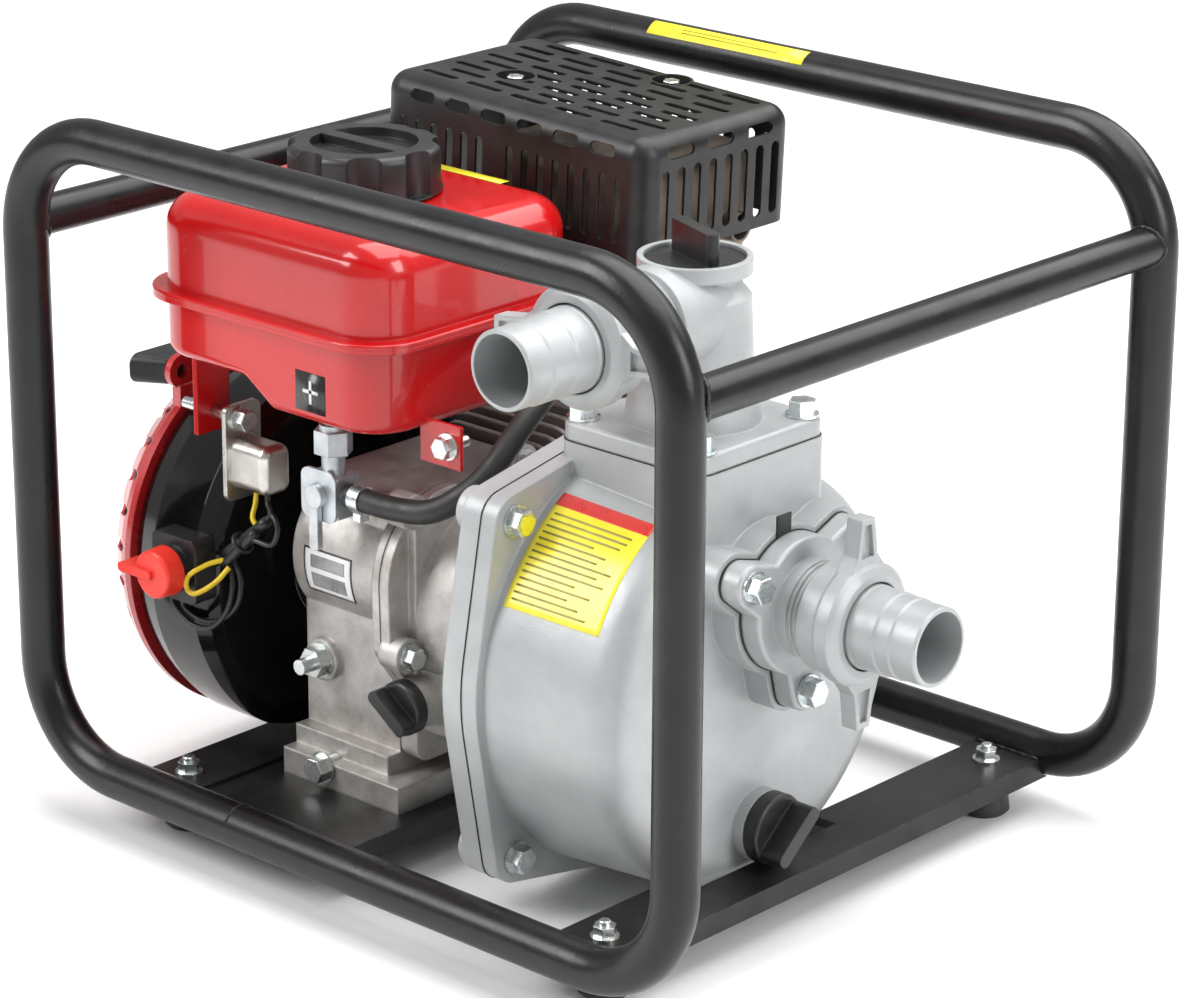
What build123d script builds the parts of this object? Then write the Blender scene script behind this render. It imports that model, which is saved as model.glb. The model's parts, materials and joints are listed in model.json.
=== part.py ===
from build123d import *
from math import cos, radians, sin, tan
import os

os.makedirs("parts", exist_ok=True)

# Portable engine-driven fire pump in a tube frame. Millimetres, Z up.
# X runs along the crankshaft and +X is the suction end; the outlet points to -Y.
# The origin is on the floor at the middle of the whole machine's box.

# ---- driving dimensions ----
frame_x = -10.0
hoop_half = 215.0
hoop_y = 174.0
hoop_low = 28.0
hoop_high = 358.4
hoop_r = 11.25
hoop_wall = 1.8
bend_r = 54.0
cross_r = 10.0
cross_z = 310.0
tail_tip_x = hoop_half + hoop_r - frame_x

shaft_y = -28.0
shaft_z = 118.0
shaft_r = 10.0
running_gap = 0.05
free_gap = 0.4

sheet = 2.5
base_top = 28.0
tray_top = 26.0
front_x = (116.0, 157.0)
rear_x = (-168.0, -130.0)
tray_x = (-130.0, -25.0)
foot_x = (-149.0, 136.5)
foot_y = 145.0

case_x = (-118.0, -52.0)
cover_x = (-51.3, 21.0)
cylinder_x = -86.0
cylinder_tilt = 25.0
crank_throw = 19.0
deck_low = 58.0
deck_high = 105.0
bore_r = 27.0

pump_back = 21.0
pump_joint = 40.0
flange_front = 50.0
pump_front = 130.0
flange_r = 113.0
boss_reach = 86.0
drum_r = 110.0
drum_front_r = 104.0
casting = 6.0
top_joint = 233.4

inlet_z = 165.5
outlet_x = 85.0
outlet_z = 296.0
thread_r = 24.0
hose_r = 19.25

tank_x = (-202.0, -25.0)
tank_y = (-130.0, 30.0)
tank_seam = 271.0
tank_top = 320.0

guard_x = (-184.0, -1.0)
guard_y = (33.0, 148.0)
guard_top = 353.0
guard_tilt = 2.5
guard_sheet = 1.4

# ---- shared planes and axes ----
shaft_axis = Axis((0, shaft_y, shaft_z), (1, 0, 0))
shaft_side = Plane(origin=(0, shaft_y, shaft_z), x_dir=(1, 0, 0), z_dir=(0, -1, 0))
shaft_end = Plane(origin=(0, shaft_y, shaft_z), x_dir=(0, 1, 0), z_dir=(1, 0, 0))
world_end = Plane(origin=(0, 0, 0), x_dir=(0, 1, 0), z_dir=(1, 0, 0))
tilt = radians(cylinder_tilt)
bore_plane = Plane(origin=(cylinder_x, shaft_y, shaft_z), x_dir=(1, 0, 0), z_dir=(0, cos(tilt), sin(tilt)))
inlet_plane = Plane(origin=(0, shaft_y, inlet_z), x_dir=(0, 1, 0), z_dir=(1, 0, 0))
outlet_plane = Plane(origin=(outlet_x, 0, outlet_z), x_dir=(1, 0, 0), z_dir=(0, -1, 0))


def turned(points, base):
    """Solid of revolution about the base plane's normal; points are (radius, height)."""
    with BuildPart() as body:
        with BuildSketch(Plane(origin=base.origin, x_dir=base.x_dir, z_dir=-base.y_dir)):
            with BuildLine():
                Polyline(*points, close=True)
            make_face()
        revolve(axis=Axis(base.origin, base.z_dir))
    return body.part


def block(x, y, z):
    """Plain box between two limits on each axis."""
    with BuildPart() as body:
        with BuildSketch(Plane.XY.offset(z[0])):
            with Locations(((x[0] + x[1]) / 2, (y[0] + y[1]) / 2)):
                Rectangle(x[1] - x[0], y[1] - y[0])
        extrude(amount=z[1] - z[0])
    return body.part


def hose(path_points, radii, radius):
    """Round cord along straight runs joined by tangent arcs."""
    with BuildPart() as body:
        with BuildLine() as route:
            FilletPolyline(*path_points, radius=radii)
        with BuildSketch(Plane(origin=route.line @ 0, z_dir=route.line % 0)):
            Circle(radius)
        sweep(path=route.line)
    return body.part


def largest_arcs(points):
    """Fillet radius for every inner corner: 0.45 of its shorter run over tan(half turn)."""
    corners = [Vector(*point) for point in points]
    radii = []
    for before, corner, after in zip(corners, corners[1:], corners[2:]):
        turn = (corner - before).get_angle(after - corner)
        shorter = min((corner - before).length, (after - corner).length)
        radii.append(0.45 * shorter / tan(radians(turn / 2)))
    return radii


def flange_bolt(across, shank_r, length):
    """Hex flange bolt standing on XY: head above, shank below."""
    head = across * 0.55
    with BuildPart() as bolt:
        with BuildSketch():
            Circle(across * 0.68)
        extrude(amount=1.4)
        with BuildSketch(Plane.XY.offset(1.4)):
            RegularPolygon(across / 2, 6, major_radius=False)
        extrude(amount=head)
        chamfer(bolt.faces().sort_by(Axis.Z)[-1].edges(), 0.5)
        with BuildSketch():
            Circle(shank_r)
        extrude(amount=-length)
    return bolt.part


def placed(piece, planes):
    """One copy of the piece standing on each plane."""
    return [plane.location * piece for plane in planes]


def shifted(plane, x, y, height=0.0):
    """Parallel plane whose origin is moved to local x, y and height."""
    return Plane(plane.from_local_coords((x, y, height)), x_dir=plane.x_dir, z_dir=plane.z_dir)


def across_bore(x, height):
    """Plane facing +X on the cylinder's axis, x along the crankshaft from its centre."""
    centre = bore_plane.from_local_coords((x, 0, height))
    return Plane(origin=centre, x_dir=bore_plane.y_dir, z_dir=(1, 0, 0))


def lobed_plate(plane, height, thickness, core_r, lobe_r, spots):
    """Plate with a round core and one ear around each bolt spot."""
    with BuildPart() as plate:
        with BuildSketch(plane.offset(height)):
            Circle(core_r)
        extrude(amount=thickness)
        for spot in spots:
            with BuildSketch(plane.offset(height)):
                Circle(core_r - 15)
                with Locations(spot):
                    Circle(lobe_r)
                make_hull()
            extrude(amount=thickness)
    return plate.part


# ================= frame =================
def tube_hoop(y):
    """Closed rounded-rectangle tube in a plane of constant y."""
    with BuildPart() as hoop:
        with BuildLine(Plane.XZ.offset(-y)) as route:
            FilletPolyline(
                (frame_x, hoop_low),
                (frame_x + hoop_half, hoop_low),
                (frame_x + hoop_half, hoop_high),
                (frame_x, hoop_high),
                radius=bend_r,
            )
        with BuildSketch(Plane(origin=route.line @ 0, z_dir=route.line % 0)):
            Circle(hoop_r)
            Circle(hoop_r - hoop_wall, mode=Mode.SUBTRACT)
        sweep(path=route.line)
        mirror(about=Plane.YZ.offset(frame_x))
    return hoop.part


with BuildPart() as right_hoop:
    add(tube_hoop(-hoop_y))
right_hoop.part.label = "right_hoop"
export_step(right_hoop.part, "parts/right_hoop.step")

with BuildPart() as left_hoop:
    add(tube_hoop(hoop_y))
left_hoop.part.label = "left_hoop"
export_step(left_hoop.part, "parts/left_hoop.step")


def cross_tube(x):
    """Tube between the hoops with both ends coped to fit their uprights."""
    with BuildPart() as tube:
        with BuildSketch(Plane(origin=(x, -hoop_y + 4, cross_z), x_dir=(1, 0, 0), z_dir=(0, 1, 0))):
            Circle(cross_r)
            Circle(cross_r - 1.6, mode=Mode.SUBTRACT)
        extrude(amount=2 * hoop_y - 8)
        with BuildSketch(Plane.XY.offset(cross_z - 20)):
            with Locations((x, -hoop_y), (x, hoop_y)):
                Circle(hoop_r)
        extrude(amount=40, mode=Mode.SUBTRACT)
        add([right_hoop.part, left_hoop.part], mode=Mode.SUBTRACT)
    return tube.part


with BuildPart() as cross_tubes:
    for upright in (-hoop_half, hoop_half):
        add(cross_tube(frame_x + upright))
cross_tubes.part.label = "cross_tubes"
export_step(cross_tubes.part, "parts/cross_tubes.step")


def base_channel(x, bolt_x):
    """Inverted channel between the hoops' lower tubes, with two foot holes."""
    with BuildPart() as channel:
        add(block(x, (-hoop_y + 4, hoop_y - 4), (base_top - 11, base_top)))
        inner = (x[0] + sheet, x[1] - sheet)
        add(block(inner, (-hoop_y, hoop_y), (base_top - 12, base_top - sheet)), mode=Mode.SUBTRACT)
        with BuildSketch(Plane.YZ.offset(x[0] - 1)):
            with Locations((-hoop_y, hoop_low), (hoop_y, hoop_low)):
                Circle(hoop_r)
        extrude(amount=x[1] - x[0] + 2, mode=Mode.SUBTRACT)
        with BuildSketch(Plane.XY.offset(base_top - 5)):
            with Locations((bolt_x, -foot_y), (bolt_x, foot_y)):
                Circle(3.3)
        extrude(amount=10, mode=Mode.SUBTRACT)
    return channel.part


with BuildPart() as front_base_channel:
    add(base_channel(front_x, foot_x[1]))
    with BuildSketch(shaft_end.offset(front_x[0] - 2)):
        Circle(drum_r - 3)
    extrude(amount=pump_front - front_x[0] + 4, mode=Mode.SUBTRACT)
front_base_channel.part.label = "front_base_channel"
export_step(front_base_channel.part, "parts/front_base_channel.step")

with BuildPart() as rear_base_channel:
    add(base_channel(rear_x, foot_x[0]))
rear_base_channel.part.label = "rear_base_channel"
export_step(rear_base_channel.part, "parts/rear_base_channel.step")

engine_bolt_spots = [(-102, -99), (-50, -99), (-102, 52), (-50, 52)]

with BuildPart() as engine_tray:
    add(block(tray_x, (-hoop_y + 4, hoop_y - 4), (tray_top - 11, tray_top)))
    hollow = (tray_x[0] - 1, tray_x[1] - sheet)
    add(block(hollow, (-hoop_y, hoop_y), (tray_top - 12, tray_top - sheet)), mode=Mode.SUBTRACT)
    with BuildSketch(Plane.YZ.offset(tray_x[0] - 1)):
        with Locations((-hoop_y, hoop_low), (hoop_y, hoop_low)):
            Circle(hoop_r)
    extrude(amount=tray_x[1] - tray_x[0] + 2, mode=Mode.SUBTRACT)
    with BuildSketch(Plane.XY.offset(tray_top - 5)):
        with Locations(*engine_bolt_spots):
            Circle(4.3)
    extrude(amount=10, mode=Mode.SUBTRACT)
engine_tray.part.label = "engine_tray"
export_step(engine_tray.part, "parts/engine_tray.step")

foot_top = base_top - sheet
foot_profile = [(0, 0), (11, 0), (13, 2), (11.5, 15), (9, 17), (9, foot_top), (3, foot_top), (3, 9), (0, 9)]
foot_planes = [Plane((x, y, 0)) for x in foot_x for y in (-foot_y, foot_y)]

with BuildPart() as rubber_feet:
    add(placed(turned(foot_profile, Plane.XY), foot_planes))
rubber_feet.part.label = "rubber_feet"
export_step(rubber_feet.part, "parts/rubber_feet.step")


def foot_stud():
    """Stud moulded in a foot, with its flange nut on the base member."""
    with BuildPart() as stud:
        with BuildSketch(Plane.XY.offset(9)):
            Circle(3)
        extrude(amount=28)
        chamfer(stud.faces().sort_by(Axis.Z)[-1].edges(), 0.6)
        with BuildSketch(Plane.XY.offset(base_top)):
            Circle(7)
        extrude(amount=1.4)
        with BuildSketch(Plane.XY.offset(base_top + 1.4)):
            RegularPolygon(5, 6, major_radius=False)
        extrude(amount=5)
    return stud.part


with BuildPart() as foot_nuts:
    add(placed(foot_stud(), foot_planes))
foot_nuts.part.label = "foot_nuts"
export_step(foot_nuts.part, "parts/foot_nuts.step")


# ================= engine block =================
bearing_r = 21.0
bearing_left = (-118.0, -106.0)
bearing_right = (-40.0, -28.0)
bulge_y = -60.0
bulge_z = 141.0
bulge_r = 39.0

def beyond_deck():
    """Everything on the cylinder's side of the deck, for trimming the crankcase flanges."""
    with BuildPart() as waste:
        with BuildSketch(bore_plane.offset(deck_low)):
            Rectangle(112, 160)
        extrude(amount=70)
    return waste.part


def joint_rim(x, thickness):
    """Raised rim that runs round the bulge and down to the lower lug at the crankcase joint."""
    with BuildPart() as rim:
        with BuildSketch(Plane(origin=(x, 0, 0), x_dir=(0, 1, 0), z_dir=(1, 0, 0))):
            with Locations((bulge_y, bulge_z)):
                Circle(bulge_r + 5)
            with Locations((-96, 108), (-82, 88)):
                Circle(7)
            make_hull()
            with Locations((0, bulge_z)):
                Rectangle(110, 200, mode=Mode.SUBTRACT)
        extrude(amount=thickness)
    return rim.part


with BuildPart() as crankcase:
    add(block((-118, -36), (-108, 62), (tray_top, 40)))
    add(block((-118, case_x[1]), (-99, 56), (tray_top, 50)))
    add(block(case_x, (-90, 40), (40, 182)))
    fillet(crankcase.edges().filter_by(Axis.X).group_by(Axis.Z)[-1], 12)
    with BuildSketch(Plane(origin=(case_x[0], bulge_y, bulge_z), x_dir=(0, 1, 0), z_dir=(1, 0, 0))):
        Circle(bulge_r)
    extrude(amount=case_x[1] - case_x[0])
    add(joint_rim(case_x[1] - 5, 5))
    with BuildSketch(bore_plane):
        Circle(33)
    extrude(amount=deck_low)
    with BuildSketch(shaft_end.offset(case_x[0] - 4)):
        Circle(30)
    extrude(amount=8)
    with BuildSketch(Plane(origin=(-104, -88, 87), x_dir=(1, 0, 0), z_dir=(0, -1, 0))):
        Circle(11)
    extrude(amount=6)
    add(beyond_deck(), mode=Mode.SUBTRACT)
    add(block((-110, case_x[1] + 1), (-82, 32), (50, 174)), mode=Mode.SUBTRACT)
    with BuildSketch(bore_plane.offset(-5)):
        Circle(bore_r + 3.2)
    extrude(amount=deck_low + 6, mode=Mode.SUBTRACT)
    with BuildSketch(shaft_end.offset(bearing_left[0])):
        Circle(bearing_r)
    extrude(amount=20, mode=Mode.SUBTRACT)
    with BuildSketch(shaft_end.offset(case_x[0] - 5)):
        Circle(shaft_r + 3)
    extrude(amount=10, mode=Mode.SUBTRACT)
    with BuildSketch(Plane.XY.offset(tray_top)):
        with Locations(*engine_bolt_spots):
            Circle(4)
    extrude(amount=12, mode=Mode.SUBTRACT)
    with BuildSketch(Plane(origin=(0, -108, 0), x_dir=(1, 0, 0), z_dir=(0, 1, 0))):
        with Locations((-89, -37)):
            Circle(5)
    extrude(amount=14, mode=Mode.SUBTRACT)
crankcase.part.label = "crankcase"
export_step(crankcase.part, "parts/crankcase.step")


cover_lugs = [Plane(origin=(-40, y, z), x_dir=(0, 1, 0), z_dir=(1, 0, 0)) for y, z in
              [(-92, 181), (-97, 107), (-14, 188), (38, 56)]]

with BuildPart() as crankcase_cover:
    add(block((cover_x[0], -40), (-90, 40), (47, 182)))
    fillet(crankcase_cover.edges().filter_by(Axis.X), 8)
    add(joint_rim(cover_x[0], 6))
    for lug in cover_lugs:
        with BuildSketch(lug.offset(-11)):
            Circle(9)
        extrude(amount=13)
    with BuildSketch(shaft_end.offset(-40)):
        Circle(62)
    extrude(amount=40 + pump_back)
    with BuildSketch(Plane(origin=(-37, -80, 82), x_dir=(1, 0, 0), z_dir=(0, -1, 0))):
        Circle(13)
    extrude(amount=19)
    add(block((-50, -16), (-88, -60), (66, 98)))
    add(beyond_deck(), mode=Mode.SUBTRACT)
    add(block((cover_x[0] - 1, -44), (-82, 32), (56, 174)), mode=Mode.SUBTRACT)
    with BuildSketch(shaft_end.offset(-26)):
        Circle(55)
    extrude(amount=28 + pump_back, mode=Mode.SUBTRACT)
    with BuildSketch(shaft_end.offset(-45)):
        Circle(bearing_r)
    extrude(amount=25, mode=Mode.SUBTRACT)
    with BuildSketch(Plane(origin=(-37, -100, 82), x_dir=(1, 0, 0), z_dir=(0, 1, 0))):
        Circle(9.6)
    extrude(amount=14, mode=Mode.SUBTRACT)
    for lug in cover_lugs:
        with BuildSketch(lug.offset(-13)):
            Circle(3)
        extrude(amount=16, mode=Mode.SUBTRACT)
crankcase_cover.part.label = "crankcase_cover"
export_step(crankcase_cover.part, "parts/crankcase_cover.step")


with BuildPart() as crank_bearings:
    for side in (bearing_left, bearing_right):
        with BuildSketch(shaft_end.offset(side[0])):
            Circle(bearing_r)
            Circle(shaft_r + running_gap, mode=Mode.SUBTRACT)
        extrude(amount=side[1] - side[0])
crank_bearings.part.label = "crank_bearings"
export_step(crank_bearings.part, "parts/crank_bearings.step")

stud_plane = Plane(origin=(-104, -90, 87), x_dir=(1, 0, 0), z_dir=(0, -1, 0))
drain_plane = Plane(origin=(-89, -108, 37), x_dir=(1, 0, 0), z_dir=(0, -1, 0))

with BuildPart() as oil_bolts:
    with BuildSketch(stud_plane.offset(4)):
        Circle(9)
    extrude(amount=1.5)
    with BuildSketch(stud_plane.offset(5.5)):
        RegularPolygon(7, 6, major_radius=False)
    extrude(amount=6)
    with BuildSketch(stud_plane.offset(5.5)):
        Circle(4)
    extrude(amount=14)
    add(placed(flange_bolt(12, 4.9, 12), [drain_plane]))
oil_bolts.part.label = "oil_bolts"
export_step(oil_bolts.part, "parts/oil_bolts.step")

plug_plane = Plane(origin=(-37, -99, 82), x_dir=(1, 0, 0), z_dir=(0, -1, 0))

with BuildPart() as oil_filler_plug:
    with BuildSketch(plug_plane.offset(free_gap)):
        Circle(14)
    extrude(amount=7)
    fillet(oil_filler_plug.faces().sort_by(Axis.Y)[0].edges(), 2)
    with BuildSketch(plug_plane.offset(7)):
        with Locations(Location((0, 0, 0), (0, 0, -35))):
            RectangleRounded(28, 7, 3)
    extrude(amount=9)
    with BuildSketch(plug_plane.offset(free_gap)):
        Circle(9)
    extrude(amount=-11)
oil_filler_plug.part.label = "oil_filler_plug"
export_step(oil_filler_plug.part, "parts/oil_filler_plug.step")

# ================= cylinder, head and crank train =================
head_top = 148.0
port_y = 84.0
port_z = 168.0
plug_seat = Plane(
    origin=bore_plane.from_local_coords((0, 39, deck_high + 22)), x_dir=(1, 0, 0), z_dir=bore_plane.y_dir
)

with BuildPart() as cylinder:
    with BuildSketch(bore_plane.offset(deck_low)):
        RectangleRounded(68, 68, 14)
    extrude(amount=4)
    with BuildSketch(bore_plane.offset(deck_low)):
        Circle(bore_r + 4)
    extrude(amount=deck_high - deck_low)
    for fin in range(5):
        with BuildSketch(bore_plane.offset(deck_low + 9 + 7.5 * fin)):
            RectangleRounded(84, 84, 16)
        extrude(amount=2.2)
    with BuildSketch(bore_plane.offset(deck_high - 4)):
        RectangleRounded(76, 78, 14)
    extrude(amount=4)
    with BuildSketch(bore_plane.offset(deck_low - 1)):
        Circle(bore_r)
    extrude(amount=60, mode=Mode.SUBTRACT)
cylinder.part.label = "cylinder"
export_step(cylinder.part, "parts/cylinder.step")

with BuildPart() as cylinder_head:
    with BuildSketch(bore_plane.offset(deck_high)):
        RectangleRounded(76, 78, 14)
    extrude(amount=head_top - deck_high)
    for fin in range(4):
        with BuildSketch(bore_plane.offset(deck_high + 5 + 7.5 * fin)):
            RectangleRounded(86, 88, 16)
        extrude(amount=2.4)
    with BuildSketch(bore_plane.offset(deck_high - 1)):
        Circle(bore_r - 1)
    extrude(amount=8, mode=Mode.SUBTRACT)
    with BuildSketch(bore_plane.offset(head_top - 14)):
        RectangleRounded(60, 60, 8)
    extrude(amount=15, mode=Mode.SUBTRACT)
    with BuildSketch(plug_seat.offset(-6)):
        Circle(5)
    extrude(amount=12, mode=Mode.SUBTRACT)
    port = Plane(origin=(cylinder_x, port_y, port_z), x_dir=(0, 1, 0), z_dir=(1, 0, 0))
    with BuildSketch(port.offset(-43)):
        RectangleRounded(26, 23, 5)
    extrude(amount=86)
    with BuildSketch(port.offset(-44)):
        Circle(9)
    extrude(amount=88, mode=Mode.SUBTRACT)
cylinder_head.part.label = "cylinder_head"
export_step(cylinder_head.part, "parts/cylinder_head.step")

with BuildPart() as valve_cover:
    with BuildSketch(bore_plane.offset(head_top)):
        RectangleRounded(78, 74, 12)
    extrude(amount=22, taper=4)
    fillet(valve_cover.faces().sort_by(Axis((0, 0, 0), bore_plane.z_dir))[-1].edges(), 5)
    with BuildSketch(bore_plane.offset(head_top - 1)):
        RectangleRounded(70, 66, 10)
    extrude(amount=19, taper=4, mode=Mode.SUBTRACT)
valve_cover.part.label = "valve_cover"
export_step(valve_cover.part, "parts/valve_cover.step")

with BuildPart() as spark_plug:
    add(turned(
        [(0, -5), (4.9, -5), (4.9, 6), (8, 6), (8, 12), (4.5, 13), (4.5, 26), (2, 27), (2, 32), (0, 32)],
        plug_seat,
    ))
spark_plug.part.label = "spark_plug"
export_step(spark_plug.part, "parts/spark_plug.step")

pin_r = 9.0
cheek_x = ((-102.0, -93.0), (-79.0, -70.0))
pin_centre = (crank_throw * cos(tilt), crank_throw * sin(tilt))

with BuildPart() as crankshaft:
    for cheek in cheek_x:
        with BuildSketch(shaft_end.offset(cheek[0])):
            Circle(15)
            with Locations(pin_centre):
                Circle(12)
            with Locations((-pin_centre[0] * 0.7, -pin_centre[1] * 0.7)):
                Circle(22)
            make_hull()
        extrude(amount=cheek[1] - cheek[0])
    with BuildSketch(shaft_end.offset(cheek_x[0][1])):
        with Locations(pin_centre):
            Circle(pin_r)
    extrude(amount=cheek_x[1][0] - cheek_x[0][1])
    with BuildSketch(shaft_end.offset(-172)):
        Circle(shaft_r)
    extrude(amount=172 + cheek_x[0][0])
    with BuildSketch(shaft_end.offset(cheek_x[1][1])):
        Circle(shaft_r)
    extrude(amount=44 - cheek_x[1][1])
    with BuildSketch(shaft_end.offset(44)):
        Circle(7)
    extrude(amount=20)
crankshaft.part.label = "crankshaft"
export_step(crankshaft.part, "parts/crankshaft.step")

rod_length = 66.0
pin_top = crank_throw + rod_length

with BuildPart() as rod_big_end:
    with BuildSketch(shifted(shaft_end, pin_centre[0], pin_centre[1], cylinder_x - 6)):
        Circle(14)
        Circle(pin_r, mode=Mode.SUBTRACT)
    extrude(amount=12)
rod_big_end.part.label = "rod_big_end"
export_step(rod_big_end.part, "parts/rod_big_end.step")

with BuildPart() as connecting_rod:
    with BuildSketch(bore_plane.offset(36)):
        RectangleRounded(10, 15, 2)
    extrude(amount=pin_top - 36 - 9)
    with BuildSketch(across_bore(-6, pin_top)):
        Circle(11)
    extrude(amount=12)
    with BuildSketch(across_bore(-20, pin_top)):
        Circle(6.5)
    extrude(amount=40, mode=Mode.SUBTRACT)
connecting_rod.part.label = "connecting_rod"
export_step(connecting_rod.part, "parts/connecting_rod.step")

with BuildPart() as piston_pin:
    with BuildSketch(across_bore(-22, pin_top)):
        Circle(6.5)
    extrude(amount=44)
piston_pin.part.label = "piston_pin"
export_step(piston_pin.part, "parts/piston_pin.step")

with BuildPart() as piston:
    with BuildSketch(bore_plane.offset(pin_top - 18)):
        Circle(bore_r - running_gap)
    extrude(amount=35)
    with BuildSketch(bore_plane.offset(pin_top - 19)):
        Circle(bore_r - 4)
        with Locations((16.5, 0), (-16.5, 0)):
            Rectangle(11, 20, mode=Mode.SUBTRACT)
    extrude(amount=30, mode=Mode.SUBTRACT)
    for ring in (1.5, 5.5, 9.5):
        with BuildSketch(bore_plane.offset(pin_top + 17 - ring - 1.5)):
            Circle(bore_r + 1)
            Circle(bore_r - 2.2, mode=Mode.SUBTRACT)
        extrude(amount=1.5, mode=Mode.SUBTRACT)
    with BuildSketch(across_bore(-22, pin_top)):
        Circle(6.5)
    extrude(amount=44, mode=Mode.SUBTRACT)
piston.part.label = "piston"
export_step(piston.part, "parts/piston.step")

with BuildPart() as flywheel:
    add(turned([
        (shaft_r, -172), (20, -172), (20, -176), (70, -176), (78, -172), (78, -160), (30, -164), (20, -156),
        (shaft_r, -156),
    ], shaft_end))
    for fin in range(16):
        angle = 360 / 16 * fin
        with BuildSketch(Plane(origin=(-176, shaft_y, shaft_z), x_dir=(0, 1, 0), z_dir=(-1, 0, 0))):
            with Locations(Location((0, 0, 0), (0, 0, angle))):
                with Locations((0, 58)):
                    Rectangle(3, 36)
        extrude(amount=12)
flywheel.part.label = "flywheel"
export_step(flywheel.part, "parts/flywheel.step")

with BuildPart() as starter_cup:
    add(turned([(0, -179), (0, -176.2), (28, -176.2), (28, -196), (26, -196), (26, -179)], shaft_end))
starter_cup.part.label = "starter_cup"
export_step(starter_cup.part, "parts/starter_cup.step")

# ================= blower housing and starter =================
shroud_r = 100.0
shroud_x = (-210.0, -150.0)
shroud_floor = 31.0


def shroud_body():
    """Outside of the blower housing, without its hollow."""
    with BuildPart() as body:
        add(turned([
            (0, -210), (94, -210), (97, -204), (100, -192), (100, -162), (97, -154), (92, -150), (0, -150),
        ], shaft_end))
        add(block(shroud_x, (-200, 140), (-20, shroud_floor)), mode=Mode.SUBTRACT)
    return body.part


with BuildPart() as shroud_hollow:
    add(turned([
        (0, -212), (91.8, -212), (94.8, -204), (97.8, -192), (97.8, -162), (95, -155), (90, -152),
        (0, -152),
    ], shaft_end))
    add(block((-220, -140), (-200, 140), (-20, shroud_floor + 2)), mode=Mode.SUBTRACT)

with BuildPart() as fan_shroud:
    add(shroud_body())
    add(shroud_hollow.part, mode=Mode.SUBTRACT)
    with BuildSketch(shaft_end.offset(-155)):
        Circle(40)
    extrude(amount=10, mode=Mode.SUBTRACT)
fan_shroud.part.label = "fan_shroud"
export_step(fan_shroud.part, "parts/fan_shroud.step")

recoil_face = -235.0
handle_y = -85.0
handle_z = 214.0

with BuildPart() as recoil_housing:
    add(turned([
        (99, -210), (99, -214), (97, -219), (90, -230), (82, recoil_face), (22, recoil_face),
        (22, -233), (81, -233), (88.5, -229), (95, -218), (95, -212), (92, -210),
    ], shaft_end))
    add(block((-240, -205), (-200, 140), (-20, shroud_floor)), mode=Mode.SUBTRACT)
    with BuildSketch(shaft_end.offset(-240)):
        with PolarLocations(62, 20, start_angle=9):
            SlotOverall(22, 6)
    extrude(amount=10, mode=Mode.SUBTRACT)
    with BuildSketch(shaft_end.offset(-240)):
        with PolarLocations(92, 32, start_angle=6):
            SlotOverall(12, 6)
    extrude(amount=26, mode=Mode.SUBTRACT)
    with BuildSketch(shaft_end.offset(-240)):
        with PolarLocations(36, 12):
            SlotOverall(14, 6)
    extrude(amount=10, mode=Mode.SUBTRACT)
    add(turned([(0, -233), (22, -233), (22, recoil_face), (0, recoil_face)], shaft_end))
    add(turned([(0, -233), (8, -233), (8, -203), (0, -203)], shaft_end))
    with BuildSketch(Plane.YZ.offset(-216)):
        with Locations((handle_y, handle_z)):
            Circle(9)
            Circle(4, mode=Mode.SUBTRACT)
    extrude(amount=4)
    add(block((-216, -210), (handle_y - 4, handle_y + 12), (196, 207)))
recoil_housing.part.label = "recoil_housing"
export_step(recoil_housing.part, "parts/recoil_housing.step")

with BuildPart() as recoil_pulley:
    add(turned([(8.05, -228), (45, -228), (45, -226), (38, -225), (38, -216), (45, -215), (45, -213),
                (14, -213), (14, -203), (8.05, -203)], shaft_end))
recoil_pulley.part.label = "recoil_pulley"
export_step(recoil_pulley.part, "parts/recoil_pulley.step")


with BuildPart() as recoil_handle:
    with BuildSketch(Plane.YZ.offset(-216.4)):
        with Locations((handle_y, handle_z)):
            RectangleRounded(16, 14, 4)
    with BuildSketch(Plane.YZ.offset(-234)):
        with Locations((handle_y, handle_z)):
            RectangleRounded(34, 16, 6)
    loft()
recoil_handle.part.label = "recoil_handle"
export_step(recoil_handle.part, "parts/recoil_handle.step")

# ================= fuel tank =================
tank_wall = 1.6
rim = 7.0
tank_mid = ((tank_x[0] + tank_x[1]) / 2, (tank_y[0] + tank_y[1]) / 2)
tank_size = (tank_x[1] - tank_x[0], tank_y[1] - tank_y[0])
cap_spot = (-118.0, -45.0)
neck_r = 28.0


def tank_shell_top(inset):
    """Upper half of the tank, rounded along its top edge, shrunk all round by the inset."""
    with BuildPart() as shell:
        with BuildSketch(Plane.XY.offset(tank_seam)):
            with Locations(tank_mid):
                RectangleRounded(
                    tank_size[0] - 2 * (rim + inset), tank_size[1] - 2 * (rim + inset), 26 - inset
                )
        extrude(amount=tank_top - tank_seam - inset)
        fillet(shell.faces().sort_by(Axis.Z)[-1].edges(), 17 - inset)
    return shell.part


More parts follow.
